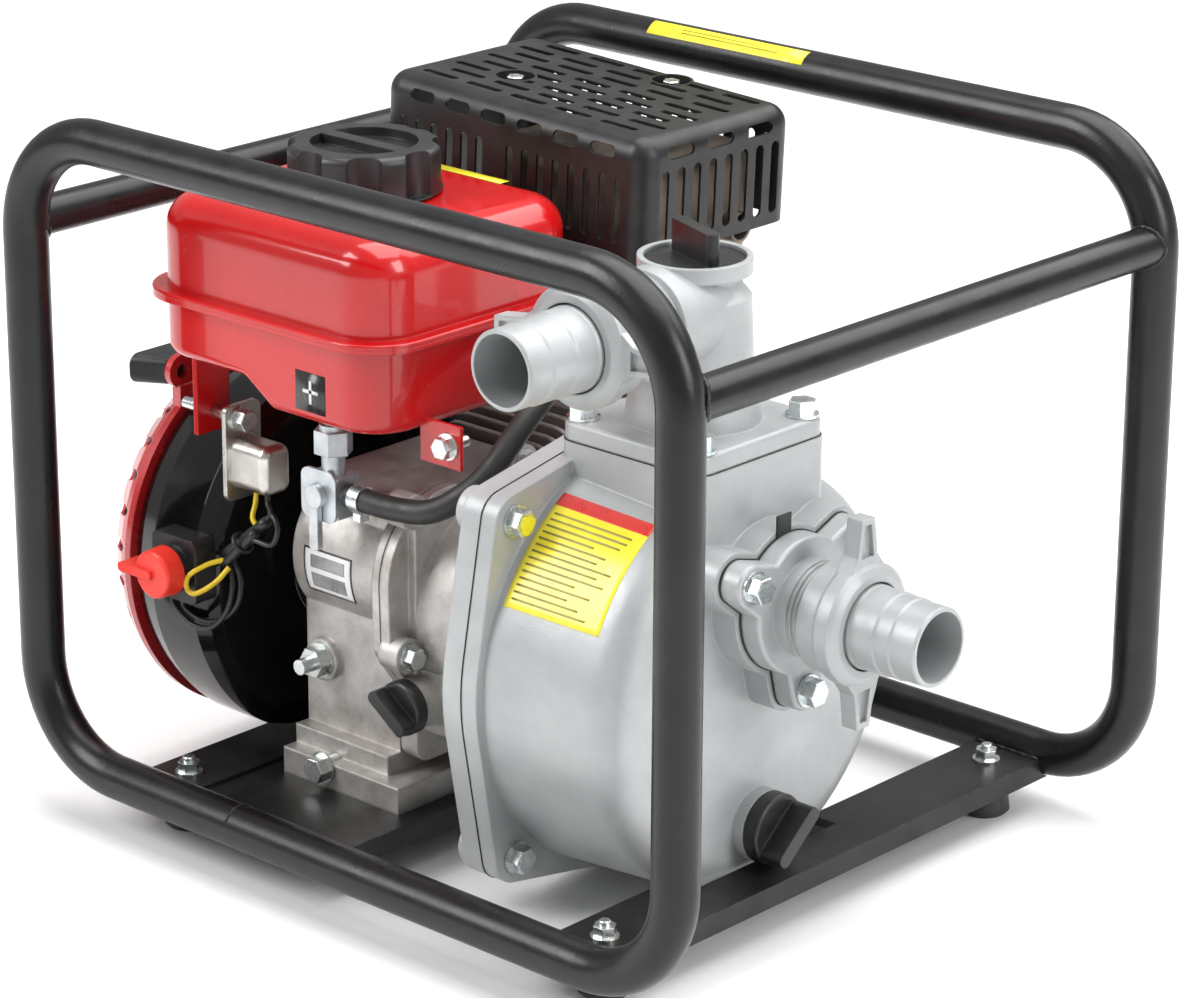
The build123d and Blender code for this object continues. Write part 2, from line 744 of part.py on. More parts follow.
def tank_shell_low(inset):
    """Lower half, deeper towards the engine's output side."""
    with BuildPart() as shell:
        with BuildSketch(Plane.XY.offset(220)):
            with Locations(tank_mid):
                RectangleRounded(
                    tank_size[0] - 2 * (rim + inset), tank_size[1] - 2 * (rim + inset), 26 - inset
                )
        extrude(amount=tank_seam - 220)
        with BuildSketch(Plane.XZ.offset(-tank_y[1])):
            with BuildLine():
                Polyline(
                    (tank_x[0], 210),
                    (tank_x[1], 210),
                    (tank_x[1], 225 + inset),
                    (-107, 225 + inset),
                    (-127, 238 + inset),
                    (tank_x[0], 238 + inset),
                    close=True,
                )
            make_face()
        extrude(amount=tank_size[1], mode=Mode.SUBTRACT)
        low_edges = shell.edges().filter_by_position(Axis.Z, 200, 262)
        fillet(low_edges.filter_by(Axis.Z, reverse=True), 6 - inset)
    return shell.part


with BuildPart() as tank_upper:
    with BuildSketch(Plane.XY.offset(tank_seam)):
        with Locations(tank_mid):
            RectangleRounded(tank_size[0], tank_size[1], 31)
    extrude(amount=2.4)
    fillet(tank_upper.faces().sort_by(Axis.Z)[-1].edges(), 1.2)
    add(tank_shell_top(0))
    with BuildSketch(Plane.XY.offset(tank_top - 4)):
        with Locations(cap_spot):
            Circle(neck_r)
    extrude(amount=10)
    add(tank_shell_top(tank_wall), mode=Mode.SUBTRACT)
    with BuildSketch(Plane.XY.offset(tank_top - 10)):
        with Locations(cap_spot):
            Circle(neck_r - 2)
    extrude(amount=20, mode=Mode.SUBTRACT)
tank_upper.part.label = "tank_upper"
export_step(tank_upper.part, "parts/tank_upper.step")

cock_x = -78.0
cock_y = -108.0

with BuildPart() as tank_lower:
    with BuildSketch(Plane.XY.offset(tank_seam - 2.4)):
        with Locations(tank_mid):
            RectangleRounded(tank_size[0], tank_size[1], 31)
    extrude(amount=2.4)
    add(tank_shell_low(0))
    add(tank_shell_low(tank_wall), mode=Mode.SUBTRACT)
    with BuildSketch(Plane.XY.offset(215)):
        with Locations((cock_x, cock_y)):
            Circle(5)
    extrude(amount=20, mode=Mode.SUBTRACT)
    add(block((-168, -165), (-118, -96), (198, 239)))
    with BuildSketch(Plane.YZ.offset(-170)):
        with Locations((-106, 208)):
            Circle(3.2)
    extrude(amount=8, mode=Mode.SUBTRACT)
    add(block((-33, -6), (-93, -91), (210, 232)))
    with BuildSketch(Plane.XZ.offset(88)):
        with Locations((-14, 221)):
            Circle(3.2)
    extrude(amount=8, mode=Mode.SUBTRACT)
tank_lower.part.label = "tank_lower"
export_step(tank_lower.part, "parts/tank_lower.step")


stay_bolt_plane = Plane(origin=(-147, -106, 208), x_dir=(0, 1, 0), z_dir=(1, 0, 0))
tab_bolt_plane = Plane(origin=(-14, -93, 221), x_dir=(1, 0, 0), z_dir=(0, -1, 0))


with BuildPart() as fuel_cap:
    with BuildSketch(Plane.XY.offset(tank_top + 1)):
        with Locations(cap_spot):
            Circle(39)
    extrude(amount=24)
    fillet(fuel_cap.faces().sort_by(Axis.Z)[-1].edges(), 4)
    with BuildSketch(Plane.XY.offset(tank_top + 2)):
        with Locations(cap_spot):
            with PolarLocations(44.5, 8):
                Circle(11)
    extrude(amount=30, mode=Mode.SUBTRACT)
    with BuildSketch(Plane.XY.offset(tank_top)):
        with Locations(cap_spot):
            Circle(neck_r + 1)
    extrude(amount=8, mode=Mode.SUBTRACT)
    with BuildSketch(Plane.XY.offset(tank_top + 20)):
        with Locations(cap_spot):
            Circle(27)
            Rectangle(60, 8, mode=Mode.SUBTRACT)
    extrude(amount=8, mode=Mode.SUBTRACT)
fuel_cap.part.label = "fuel_cap"
export_step(fuel_cap.part, "parts/fuel_cap.step")

# ================= fuel cock, hose and carburettor =================
lever_plane = Plane(origin=(cock_x - 3, cock_y - 8, 186), x_dir=(1, 0, 0), z_dir=(0, -1, 0))

with BuildPart() as fuel_cock:
    add(turned(
        [(0, 232), (4.8, 232), (4.8, 222), (7, 222), (7, 219), (0, 219)], Plane((cock_x, cock_y, 0))
    ))
    with BuildSketch(Plane.XY.offset(207)):
        with Locations((cock_x, cock_y)):
            RegularPolygon(8.5, 6, major_radius=False)
    extrude(amount=12)
    with BuildSketch(Plane.XY.offset(194)):
        with Locations((cock_x, cock_y)):
            Circle(6)
    extrude(amount=13)
    add(block((cock_x - 12, cock_x + 9), (cock_y - 6, cock_y + 9), (175, 196)))
    with BuildSketch(lever_plane.offset(-2)):
        RectangleRounded(24, 26, 5)
    extrude(amount=2)
    with BuildSketch(Plane.YZ.offset(cock_x + 9)):
        with Locations((cock_y, 187)):
            Circle(4)
    extrude(amount=16)
    with BuildSketch(lever_plane.offset(-8)):
        Circle(6.05)
    extrude(amount=9, mode=Mode.SUBTRACT)
fuel_cock.part.label = "fuel_cock"
export_step(fuel_cock.part, "parts/fuel_cock.step")

with BuildPart() as fuel_cock_lever:
    with BuildSketch(lever_plane.offset(-6)):
        Circle(6)
    extrude(amount=10)
    with BuildSketch(lever_plane.offset(free_gap)):
        with Locations((0, -11)):
            RectangleRounded(6, 34, 2.4)
    extrude(amount=3.4)
fuel_cock_lever.part.label = "fuel_cock_lever"
export_step(fuel_cock_lever.part, "parts/fuel_cock_lever.step")

carb_y = port_y
carb_z = port_z
carb_plane = Plane(origin=(cylinder_x - 43.2, carb_y, carb_z), x_dir=(0, 1, 0), z_dir=(-1, 0, 0))
exhaust_plane = Plane(origin=(cylinder_x + 43.2, carb_y, carb_z), x_dir=(0, 1, 0), z_dir=(1, 0, 0))
hose_points = [
    (cock_x + 11, cock_y, 187),
    (cock_x + 40, cock_y, 187),
    (-14, -104, 189),
    (4, -88, 205),
    (8, -62, 232),
    (2, -26, 250),
    (-10, 14, 252),
    (-34, 48, 247),
    (-74, 70, 243),
    (-112, 80, 241),
    (-147, carb_y, 235),
    (-147, carb_y, 204),
]
hose_radii = largest_arcs(hose_points)
print("fuel hose bend radii", [round(radius, 1) for radius in hose_radii])

with BuildPart() as fuel_hose:
    with BuildLine() as hose_route:
        FilletPolyline(*hose_points, radius=hose_radii)
    with BuildSketch(Plane(origin=hose_route.line @ 0, z_dir=hose_route.line % 0)):
        Circle(6)
    sweep(path=hose_route.line)
    with BuildSketch(Plane.YZ.offset(cock_x + 9)):
        with Locations((cock_y, 187)):
            Circle(4)
    extrude(amount=16, mode=Mode.SUBTRACT)
fuel_hose.part.label = "fuel_hose"
export_step(fuel_hose.part, "parts/fuel_hose.step")
print("fuel hose length", round(hose_route.wires()[0].length, 1))

with BuildPart() as hose_clamp:
    with BuildSketch(Plane.YZ.offset(cock_x + 15)):
        with Locations((cock_y, 187)):
            Circle(7)
            Circle(6, mode=Mode.SUBTRACT)
    extrude(amount=7)
    add(block((cock_x + 16, cock_x + 21), (cock_y - 3, cock_y + 3), (176, 180.2)))
hose_clamp.part.label = "hose_clamp"
export_step(hose_clamp.part, "parts/hose_clamp.step")

# ================= carburettor, air cleaner and exhaust =================

# ================= carburettor, air cleaner and exhaust =================
with BuildPart() as carburettor:
    with BuildSketch(carb_plane):
        RectangleRounded(46, 32, 8)
    extrude(amount=7)
    with BuildSketch(carb_plane.offset(7)):
        Circle(15)
    extrude(amount=30)
    with BuildSketch(Plane.XY.offset(carb_z - 34)):
        with Locations((-147, carb_y)):
            Circle(14)
    extrude(amount=22)
    with BuildSketch(Plane.XY.offset(carb_z + 10)):
        with Locations((-147, carb_y)):
            Circle(5)
    extrude(amount=hose_points[-1][2] - carb_z - 10)
    with BuildSketch(carb_plane.offset(-1)):
        Circle(9)
    extrude(amount=40, mode=Mode.SUBTRACT)
carburettor.part.label = "carburettor"
export_step(carburettor.part, "parts/carburettor.step")

cleaner_x = (-209.0, -166.4)
cleaner_y = (77.0, 156.0)
cleaner_z = (126.0, 214.0)

with BuildPart() as air_cleaner:
    add(block(cleaner_x, cleaner_y, cleaner_z))
    fillet(air_cleaner.edges(), 6)
    wall_in = 2.0
    add(block(
        (cleaner_x[0] + wall_in, cleaner_x[1] - wall_in),
        (cleaner_y[0] + wall_in, cleaner_y[1] - wall_in),
        (cleaner_z[0] + wall_in, cleaner_z[1] - wall_in),
    ), mode=Mode.SUBTRACT)
    with BuildSketch(carb_plane.offset(30)):
        Circle(12)
    extrude(amount=12, mode=Mode.SUBTRACT)
    with BuildSketch(Plane.XY.offset(cleaner_z[0] - 1)):
        with GridLocations(0, 12, 1, 4):
            with Locations((-190, 116)):
                SlotOverall(22, 5)
    extrude(amount=5, mode=Mode.SUBTRACT)
air_cleaner.part.label = "air_cleaner"
export_step(air_cleaner.part, "parts/air_cleaner.step")

muffler_x = (-124.0, -14.0)
muffler_y = (48.0, 134.0)
muffler_z = (268.0, 332.0)
muffler_wall = 1.5
pipe_points = [
    exhaust_plane.from_local_coords((0, 0, 0)),
    exhaust_plane.from_local_coords((0, 0, 27)),
    exhaust_plane.from_local_coords((0, muffler_z[0] + 3 - carb_z, 27)),
]

with BuildPart() as chamber:
    add(block(
        (muffler_x[0] + muffler_wall, muffler_x[1] - muffler_wall),
        (muffler_y[0] + muffler_wall, muffler_y[1] - muffler_wall),
        (muffler_z[0] + muffler_wall, muffler_z[1] - muffler_wall),
    ))
    fillet(chamber.edges(), 14 - muffler_wall)

with BuildPart() as muffler:
    add(block(muffler_x, muffler_y, muffler_z))
    fillet(muffler.edges(), 14)
    with BuildLine() as pipe:
        FilletPolyline(*pipe_points, radius=22)
    with BuildSketch(Plane(origin=pipe.line @ 0, z_dir=pipe.line % 0)):
        Circle(12)
    sweep(path=pipe.line)
    with BuildSketch(exhaust_plane):
        RectangleRounded(46, 32, 8)
    extrude(amount=5)
    with BuildSketch(Plane.YZ.offset(muffler_x[1] - 2)):
        with Locations((112, 290)):
            Circle(8)
    extrude(amount=10)
    with BuildSketch(Plane(origin=pipe.line @ 0, z_dir=pipe.line % 0)):
        Circle(10)
    sweep(path=pipe.line, mode=Mode.SUBTRACT)
    add(chamber.part, mode=Mode.SUBTRACT)
    with BuildSketch(Plane.YZ.offset(muffler_x[1] - 6)):
        with Locations((112, 290)):
            Circle(6.5)
    extrude(amount=20, mode=Mode.SUBTRACT)
muffler.part.label = "muffler"
export_step(muffler.part, "parts/muffler.step")

guard_low = 254.0
guard_end_low = 292.0
guard_round = 12.0


def guard_block(inset):
    """Rounded cover over the muffler, open below, its outer end cut on a slant."""
    with BuildPart() as cover:
        with BuildSketch(Plane.XY.offset(guard_low)):
            with Locations(((guard_x[0] + guard_x[1]) / 2, (guard_y[0] + guard_y[1]) / 2)):
                RectangleRounded(
                    guard_x[1] - guard_x[0] - 2 * inset,
                    guard_y[1] - guard_y[0] - 2 * inset,
                    guard_round - inset,
                )
        extrude(amount=guard_top - inset - guard_low)
        fillet(cover.faces().sort_by(Axis.Z)[-1].edges(), guard_round - inset - 1)
    return cover.part


mid_y = (guard_y[0] + guard_y[1]) / 2
mid_x = (guard_x[0] + guard_x[1]) / 2

guard_spots = [(muffler_x[0] - 6, mid_y - 14), (muffler_x[1] - 58, mid_y + 42)]
dimple_r = 10.0
dimple_depth = 6.0

with BuildPart() as level_guard:
    add(guard_block(0))
    add(guard_block(guard_sheet), mode=Mode.SUBTRACT)
    add(block(guard_x, (guard_y[0] - 1, guard_y[1] + 1), (250, 263)), mode=Mode.SUBTRACT)
    # the right end and the far side stop higher than the near side
    with BuildSketch(Plane.YZ.offset(guard_x[1] - 14)):
        with BuildLine():
            Polyline((50, 250), (60, guard_end_low), (150, guard_end_low), (150, 250), close=True)
        make_face()
    extrude(amount=20, mode=Mode.SUBTRACT)
    add(
        block((guard_x[0] - 1, guard_x[1] + 1), (guard_y[1] - 14, guard_y[1] + 1), (250, guard_end_low)),
        mode=Mode.SUBTRACT,
    )
    # top: rows of slots along X
    with BuildSketch(Plane.XY.offset(guard_top - 4)):
        for row in range(8):
            row_y = mid_y - 42 + 12 * row
            stagger = 8 if row % 2 else 0
            for column in range(5):
                slot_x = mid_x - 64 + 31 * column + stagger
                if abs(slot_x - mid_x) < 76:
                    with Locations((slot_x, row_y)):
                        SlotOverall(24, 5)
    extrude(amount=8, mode=Mode.SUBTRACT)
    # rolled edge: short oblong windows on the near side and the right side
    with BuildSketch(Plane.XZ.offset(-guard_y[0] - 6)):
        for column in range(6):
            with Locations((mid_x - 62 + 25 * column, guard_top - 9)):
                SlotOverall(17, 6)
    extrude(amount=12, mode=Mode.SUBTRACT)
    # near face: two groups of upright slots
    with BuildSketch(Plane.XZ.offset(-guard_y[0] - 6)):
        for column in range(15):
            if column != 6:
                with Locations((mid_x - 74 + 10.6 * column, guard_top - 38)):
                    SlotOverall(34, 5, rotation=90)
        for column in range(9):
            with Locations((mid_x - 10 + 10.6 * column, guard_top - 74)):
                SlotOverall(22, 5, rotation=90)
    extrude(amount=12, mode=Mode.SUBTRACT)
    # right face: eight long slots and three windows above
    with BuildSketch(Plane.YZ.offset(guard_x[1] - 6)):
        for column in range(8):
            slot_y = guard_y[0] + 16 + 12 * column
            with Locations((slot_y, guard_top - 36)):
                SlotOverall(38, 6, rotation=90)
        for column in range(3):
            with Locations((mid_y - 30 + 30 * column, guard_top - 9)):
                SlotOverall(20, 6)
    extrude(amount=12, mode=Mode.SUBTRACT)
    # far face: upright slots
    with BuildSketch(Plane.XZ.offset(-guard_y[1] - 6)):
        for column in range(15):
            with Locations((mid_x - 74 + 10.6 * column, guard_top - 34)):
                SlotOverall(30, 5, rotation=90)
    extrude(amount=12, mode=Mode.SUBTRACT)
    # pressed cups that sink the two bolt heads, each on a spacer tube
    for cup_depth, cup_r, mode in (
        (dimple_depth + guard_sheet, dimple_r + guard_sheet, Mode.ADD),
        (dimple_depth, dimple_r, Mode.SUBTRACT),
    ):
        with BuildSketch(Plane.XY.offset(guard_top - cup_depth)):
            with Locations(*guard_spots):
                Circle(cup_r)
        extrude(amount=cup_depth, mode=mode)
    with BuildSketch(Plane.XY.offset(guard_top - 17)):
        with Locations(*guard_spots):
            Circle(5.5)
    extrude(amount=10)
    with BuildSketch(Plane.XY.offset(guard_top - 18)):
        with Locations(*guard_spots):
            Circle(3.2)
    extrude(amount=14, mode=Mode.SUBTRACT)

tilt_axis = Axis((mid_x, mid_y, guard_top), (0, 1, 0))

with BuildPart() as muffler_guard:
    add(level_guard.part.rotate(tilt_axis, guard_tilt))
muffler_guard.part.label = "muffler_guard"
export_step(muffler_guard.part, "parts/muffler_guard.step")

# ================= electrical =================
switch_plane = Plane(origin=(-166, -128, 132), x_dir=(1, 0, 0), z_dir=(0, -1, 0))

with BuildPart() as switch_base:
    with BuildSketch(switch_plane.offset(-6)):
        RectangleRounded(32, 34, 4)
    extrude(amount=14)
    with BuildSketch(switch_plane.offset(8)):
        Circle(12)
    extrude(amount=4)
    add(shroud_body(), mode=Mode.SUBTRACT)
    with BuildSketch(switch_plane.offset(-5)):
        Circle(4)
    extrude(amount=20, mode=Mode.SUBTRACT)
switch_base.part.label = "switch_base"
export_step(switch_base.part, "parts/switch_base.step")

with BuildPart() as switch_knob:
    with BuildSketch(switch_plane.offset(12 + free_gap)):
        Circle(13)
    extrude(amount=11, taper=3)
    fillet(switch_knob.faces().sort_by(Axis.Y)[0].edges(), 2)
    with BuildSketch(switch_plane.offset(12 + free_gap)):
        with Locations((-11, 0)):
            RectangleRounded(24, 5, 2)
    extrude(amount=13)
    with BuildSketch(switch_plane.offset(2)):
        Circle(3.9)
    extrude(amount=12)
switch_knob.part.label = "switch_knob"
export_step(switch_knob.part, "parts/switch_knob.step")

with BuildPart() as unit_box:
    add(block((-147, -121), (-114, -95), (173, 199)))
    fillet(unit_box.edges().filter_by(Axis.X), 6)
    fillet(unit_box.faces().sort_by(Axis.X)[-1].edges(), 5)

with BuildPart() as ignition_unit:
    add(block((-149.5, -147), (-116, -92), (166, 216)))
    fillet(ignition_unit.edges().filter_by(Axis.X), 4)
    add(unit_box.part)
    with BuildSketch(stay_bolt_plane.offset(-6)):
        Circle(3.2)
    extrude(amount=12, mode=Mode.SUBTRACT)
ignition_unit.part.label = "ignition_unit"
export_step(ignition_unit.part, "parts/ignition_unit.step")

wire_r = 1.3
wire_routes = [
    [
        (-138, -106, 173), (-138, -106, 165), (-132, -110, 154), (-130, -118, 146), (-138, -127, 139),
        (-150, -127, 139),
    ],
    [
        (-128, -106, 173), (-128, -106, 164), (-121, -109, 151), (-120, -117, 136), (-132, -127, 124),
        (-150, -127, 124),
    ],
]

with BuildPart() as ignition_wires:
    for route_points in wire_routes:
        add(hose(route_points, largest_arcs(route_points), wire_r))
ignition_wires.part.label = "ignition_wires"
export_step(ignition_wires.part, "parts/ignition_wires.step")

# ================= pump =================
corner_spots = [(sy * boss_reach, sz * boss_reach) for sy in (-1, 1) for sz in (-1, 1)]


def flange_plate(height, thickness, grow=0.0):
    """Pump flange: round rim and four corner bosses inside one taut outline."""
    with BuildPart() as plate:
        with BuildSketch(shaft_end.offset(height)):
            Circle(flange_r + grow)
            with Locations(*corner_spots):
                Circle(13 + grow)
            make_hull()
        extrude(amount=thickness)
    return plate.part


def drilled(height, depth, radius):
    """Four round cutters through the flange corners."""
    with BuildPart() as holes:
        with BuildSketch(shaft_end.offset(height)):
            with Locations(*corner_spots):
                Circle(radius)
        extrude(amount=depth)
    return holes.part


with BuildPart() as pump_rear_cover:
    add(flange_plate(28, pump_joint - 28))
    add(turned([(0, pump_back), (84, pump_back), (96, 28), (0, 28)], shaft_end))
    for corner in corner_spots:
        with BuildSketch(shaft_end.offset(pump_back + 1)):
            with Locations(corner):
                Circle(11)
        extrude(amount=pump_joint - pump_back - 1)
    add(turned([(22, 32), (90, 32), (98, 41), (22, 41)], shaft_end), mode=Mode.SUBTRACT)
    add(turned([(0, 20), (shaft_r + 2, 20), (shaft_r + 2, 30), (17, 30), (17, 42), (0, 42)], shaft_end),
        mode=Mode.SUBTRACT)
    add(drilled(24, 20, 3.9), mode=Mode.SUBTRACT)
pump_rear_cover.part.label = "pump_rear_cover"
export_step(pump_rear_cover.part, "parts/pump_rear_cover.step")

box_x = (pump_joint + 0.5, pump_front)
box_y = (-74.5, 18.5)
shell_r = drum_r - casting
shell_front_r = drum_front_r - casting
shoulder = 18.0
flap_top = inlet_z + 27

with BuildPart() as drum_body:
    add(turned([(0, box_x[0]), (drum_r, box_x[0]), (drum_front_r, pump_front), (0, pump_front)], shaft_end))
    fillet(drum_body.faces().sort_by(Axis.X)[-1].edges(), shoulder)

with BuildPart() as drum_hollow:
    add(turned(
        [(0, box_x[0] - 1), (shell_r, box_x[0] - 1), (shell_front_r, pump_front - casting),
         (0, pump_front - casting)], shaft_end
    ))
    fillet(drum_hollow.faces().sort_by(Axis.X)[-1].edges(), shoulder - casting)

inlet_angles = [33.0, 153.0, 273.0]
inlet_spots = [(43.4 * cos(radians(angle)), 43.4 * sin(radians(angle))) for angle in inlet_angles]
top_spots = [(48.5, -65.0), (121.5, -65.0), (48.5, 9.0), (121.5, 9.0)]
drain_y = -30.0
drain_z = 47.5
drain_axis = Plane(origin=(0, drain_y, drain_z), x_dir=(0, 1, 0), z_dir=(1, 0, 0))

with BuildPart() as pump_casing:
    add(flange_plate(box_x[0], flange_front - box_x[0]))
    add(drum_body.part)
    with BuildSketch(Plane.XY.offset(shaft_z)):
        with Locations(((box_x[0] + box_x[1]) / 2, (box_y[0] + box_y[1]) / 2)):
            RectangleRounded(box_x[1] - box_x[0], box_y[1] - box_y[0], 7)
    extrude(amount=top_joint - shaft_z)
    add(lobed_plate(inlet_plane, pump_front - 3, 18, 37, 13.5, inlet_spots))
    with BuildSketch(drain_axis.offset(pump_front - 26)):
        Circle(18)
    extrude(amount=33)
    # hollow
    add(drum_hollow.part, mode=Mode.SUBTRACT)
    add(block((box_x[0] + casting + 3, box_x[1] - casting), (box_y[0] + casting, box_y[1] - casting),
              (shaft_z, top_joint - 7)), mode=Mode.SUBTRACT)
    with BuildSketch(Plane.XY.offset(top_joint - 10)):
        with Locations((outlet_x, shaft_y)):
            Circle(20)
    extrude(amount=14, mode=Mode.SUBTRACT)
    with BuildSketch(inlet_plane.offset(pump_front - 20)):
        Circle(18)
    extrude(amount=50, mode=Mode.SUBTRACT)
    with BuildSketch(drain_axis.offset(pump_front - 40)):
        Circle(11)
    extrude(amount=60, mode=Mode.SUBTRACT)
    with BuildSketch(inlet_plane.offset(pump_front + 3)):
        with Locations(*inlet_spots):
            Circle(4)
    extrude(amount=14, mode=Mode.SUBTRACT)
    with BuildSketch(Plane.XY.offset(top_joint - 6)):
        with Locations(*top_spots):
            Circle(3.9)
    extrude(amount=8, mode=Mode.SUBTRACT)
    add(drilled(box_x[0] - 1, 20, 4.2), mode=Mode.SUBTRACT)
    # two ears that carry the suction flap
    for ear_y in (shaft_y - 16, shaft_y + 12):
        add(block(
            (pump_front - casting - 9, pump_front - casting),
            (ear_y, ear_y + 4),
            (flap_top - 4, flap_top + 8),
        ))
    with BuildSketch(Plane.XZ.offset(-shaft_y - 20)):
        with Locations((pump_front - casting - 5, flap_top)):
            Circle(2 + running_gap)
    extrude(amount=40, mode=Mode.SUBTRACT)
pump_casing.part.label = "pump_casing"
export_step(pump_casing.part, "parts/pump_casing.step")

with BuildPart() as check_valve_flap:
    with BuildSketch(inlet_plane.offset(pump_front - casting - 3.6)):
        Circle(22)
        with Locations((0, 22)):
            Rectangle(20, 10)
    extrude(amount=3.2)
    with BuildSketch(Plane.XZ.offset(-shaft_y - 11)):
        with Locations((pump_front - casting - 5, flap_top)):
            Circle(3.6)
    extrude(amount=22)
    with BuildSketch(Plane.XZ.offset(-shaft_y - 16.5)):
        with Locations((pump_front - casting - 5, flap_top)):
            Circle(2)
    extrude(amount=33)
check_valve_flap.part.label = "check_valve_flap"
export_step(check_valve_flap.part, "parts/check_valve_flap.step")

with BuildPart() as shaft_seal:
    add(turned([(shaft_r + free_gap, 30), (17, 30), (17, 40), (shaft_r + free_gap, 40)], shaft_end))
shaft_seal.part.label = "shaft_seal"
export_step(shaft_seal.part, "parts/shaft_seal.step")

with BuildSketch() as vane:
    with BuildLine():
        ThreePointArc((13, 0), (33, 13), (53, 4))
        Line((53, 4), (53, 8))
        ThreePointArc((53, 8), (33, 17), (13, 4))
        Line((13, 4), (13, 0))
    make_face()

with BuildPart() as impeller:
    add(turned([(7, 44.5), (54, 44.5), (54, 47), (18, 49), (14, 60), (7, 60)], shaft_end))
    with BuildSketch(shaft_end.offset(46)):
        with PolarLocations(0, 5):
            add(vane.sketch)
    extrude(amount=11)
impeller.part.label = "impeller"
export_step(impeller.part, "parts/impeller.step")

with BuildPart() as volute:
    add(turned([
        (60, 32), (84, 32), (84, 36), (70, 40), (70, 66), (22, 66), (20, 61.5),
        (64, 61.5), (64, 40), (60, 36),
    ], shaft_end))
    add(block((42, 60), (shaft_y - 8, shaft_y + 28), (shaft_z + 50, shaft_z + 84)), mode=Mode.SUBTRACT)
volute.part.label = "volute"
export_step(volute.part, "parts/volute.step")


wing_reach = 52.0


def wing_nut():
    """Union nut standing on XY: ring with an inner lip at the top and two wings along Y."""
    with BuildPart() as nut:
        add(turned([
            (thread_r + 0.5, 0), (27.5, 0), (27.5, 10), (30, 13), (30, 20), (28, 22), (25, 24), (21.5, 24),
            (21.5, 20.5), (24, 19), (thread_r + 0.5, 19),
        ], Plane.XY))
        for side in (-1, 1):
            with BuildSketch(Plane.XY.offset(11)):
                with BuildLine():
                    Polyline(
                        (-13, side * 26), (-7, side * 34), (-4.5, side * wing_reach),
                        (4.5, side * wing_reach), (7, side * 34), (13, side * 26), close=True,
                    )
                make_face()
            extrude(amount=9)
            with BuildSketch(Plane.XY.offset(17.5)):
                with BuildLine():
                    Polyline(
                        (-4.6, side * 33), (-2.3, side * (wing_reach - 3)), (2.3, side * (wing_reach - 3)),
                        (4.6, side * 33), close=True,
                    )
                make_face()
            extrude(amount=3, mode=Mode.SUBTRACT)
        with BuildSketch(Plane.XY.offset(-1)):
            Circle(thread_r + 0.5)
        extrude(amount=20, mode=Mode.SUBTRACT)
    return nut.part


def hose_tail(length, seat):
    """Ringed hose tail standing on XY, with a collar that the union nut holds."""
    with BuildPart() as tail:
        add(turned([
            (17, 0), (23.5, 0), (23.5, seat), (21, seat), (20.5, 14), (20.5, 18), (20.1, 19), (20.3, 32),
            (19.7, 33), (19.9, length - 15), (19.25, length - 14), (19.25, length - 1), (18.5, length),
            (17, length),
        ], Plane.XY))
    return tail.part


inlet_flange_x = 146.0
inlet_neck_end = 180.0
inlet_nut_x = 173.0
inlet_tail_x = 180.3

with BuildPart() as inlet_flange:
    add(lobed_plate(inlet_plane, inlet_flange_x, 11, 34, 10.5, inlet_spots))
    fillet(inlet_flange.faces().sort_by(Axis.X)[-1].edges(), 2)
    with BuildSketch(inlet_plane.offset(inlet_flange_x)):
        Circle(thread_r)
    extrude(amount=inlet_neck_end - inlet_flange_x)
    for groove in range(5):
        with BuildSketch(inlet_plane.offset(inlet_neck_end - 4 - 3 * groove)):
            Circle(thread_r + 1)
            Circle(thread_r - 0.9, mode=Mode.SUBTRACT)
        extrude(amount=1.5, mode=Mode.SUBTRACT)
    with BuildSketch(inlet_plane.offset(inlet_flange_x - 1)):
        Circle(18)
    extrude(amount=40, mode=Mode.SUBTRACT)
    with BuildSketch(inlet_plane.offset(inlet_flange_x - 1)):
        with Locations(*inlet_spots):
            Circle(4.2)
    extrude(amount=20, mode=Mode.SUBTRACT)
inlet_flange.part.label = "inlet_flange"
export_step(inlet_flange.part, "parts/inlet_flange.step")

inlet_tail_length = tail_tip_x - inlet_tail_x

with BuildPart() as inlet_union_nut:
    add(placed(wing_nut(), [inlet_plane.offset(inlet_nut_x)]))
inlet_union_nut.part.label = "inlet_union_nut"
export_step(inlet_union_nut.part, "parts/inlet_union_nut.step")

with BuildPart() as inlet_hose_tail:
    add(placed(hose_tail(inlet_tail_length, 11.5), [inlet_plane.offset(inlet_tail_x)]))
inlet_hose_tail.part.label = "inlet_hose_tail"
export_step(inlet_hose_tail.part, "parts/inlet_hose_tail.step")

elbow_base = top_joint + 0.6
elbow_plate = 9.0
neck_top = 323.0
outlet_neck_end = -shaft_y + 69.0
outlet_nut_start = 90.0
outlet_tail_start = outlet_neck_end + 0.3
outlet_tail_length = 160.0 - outlet_tail_start

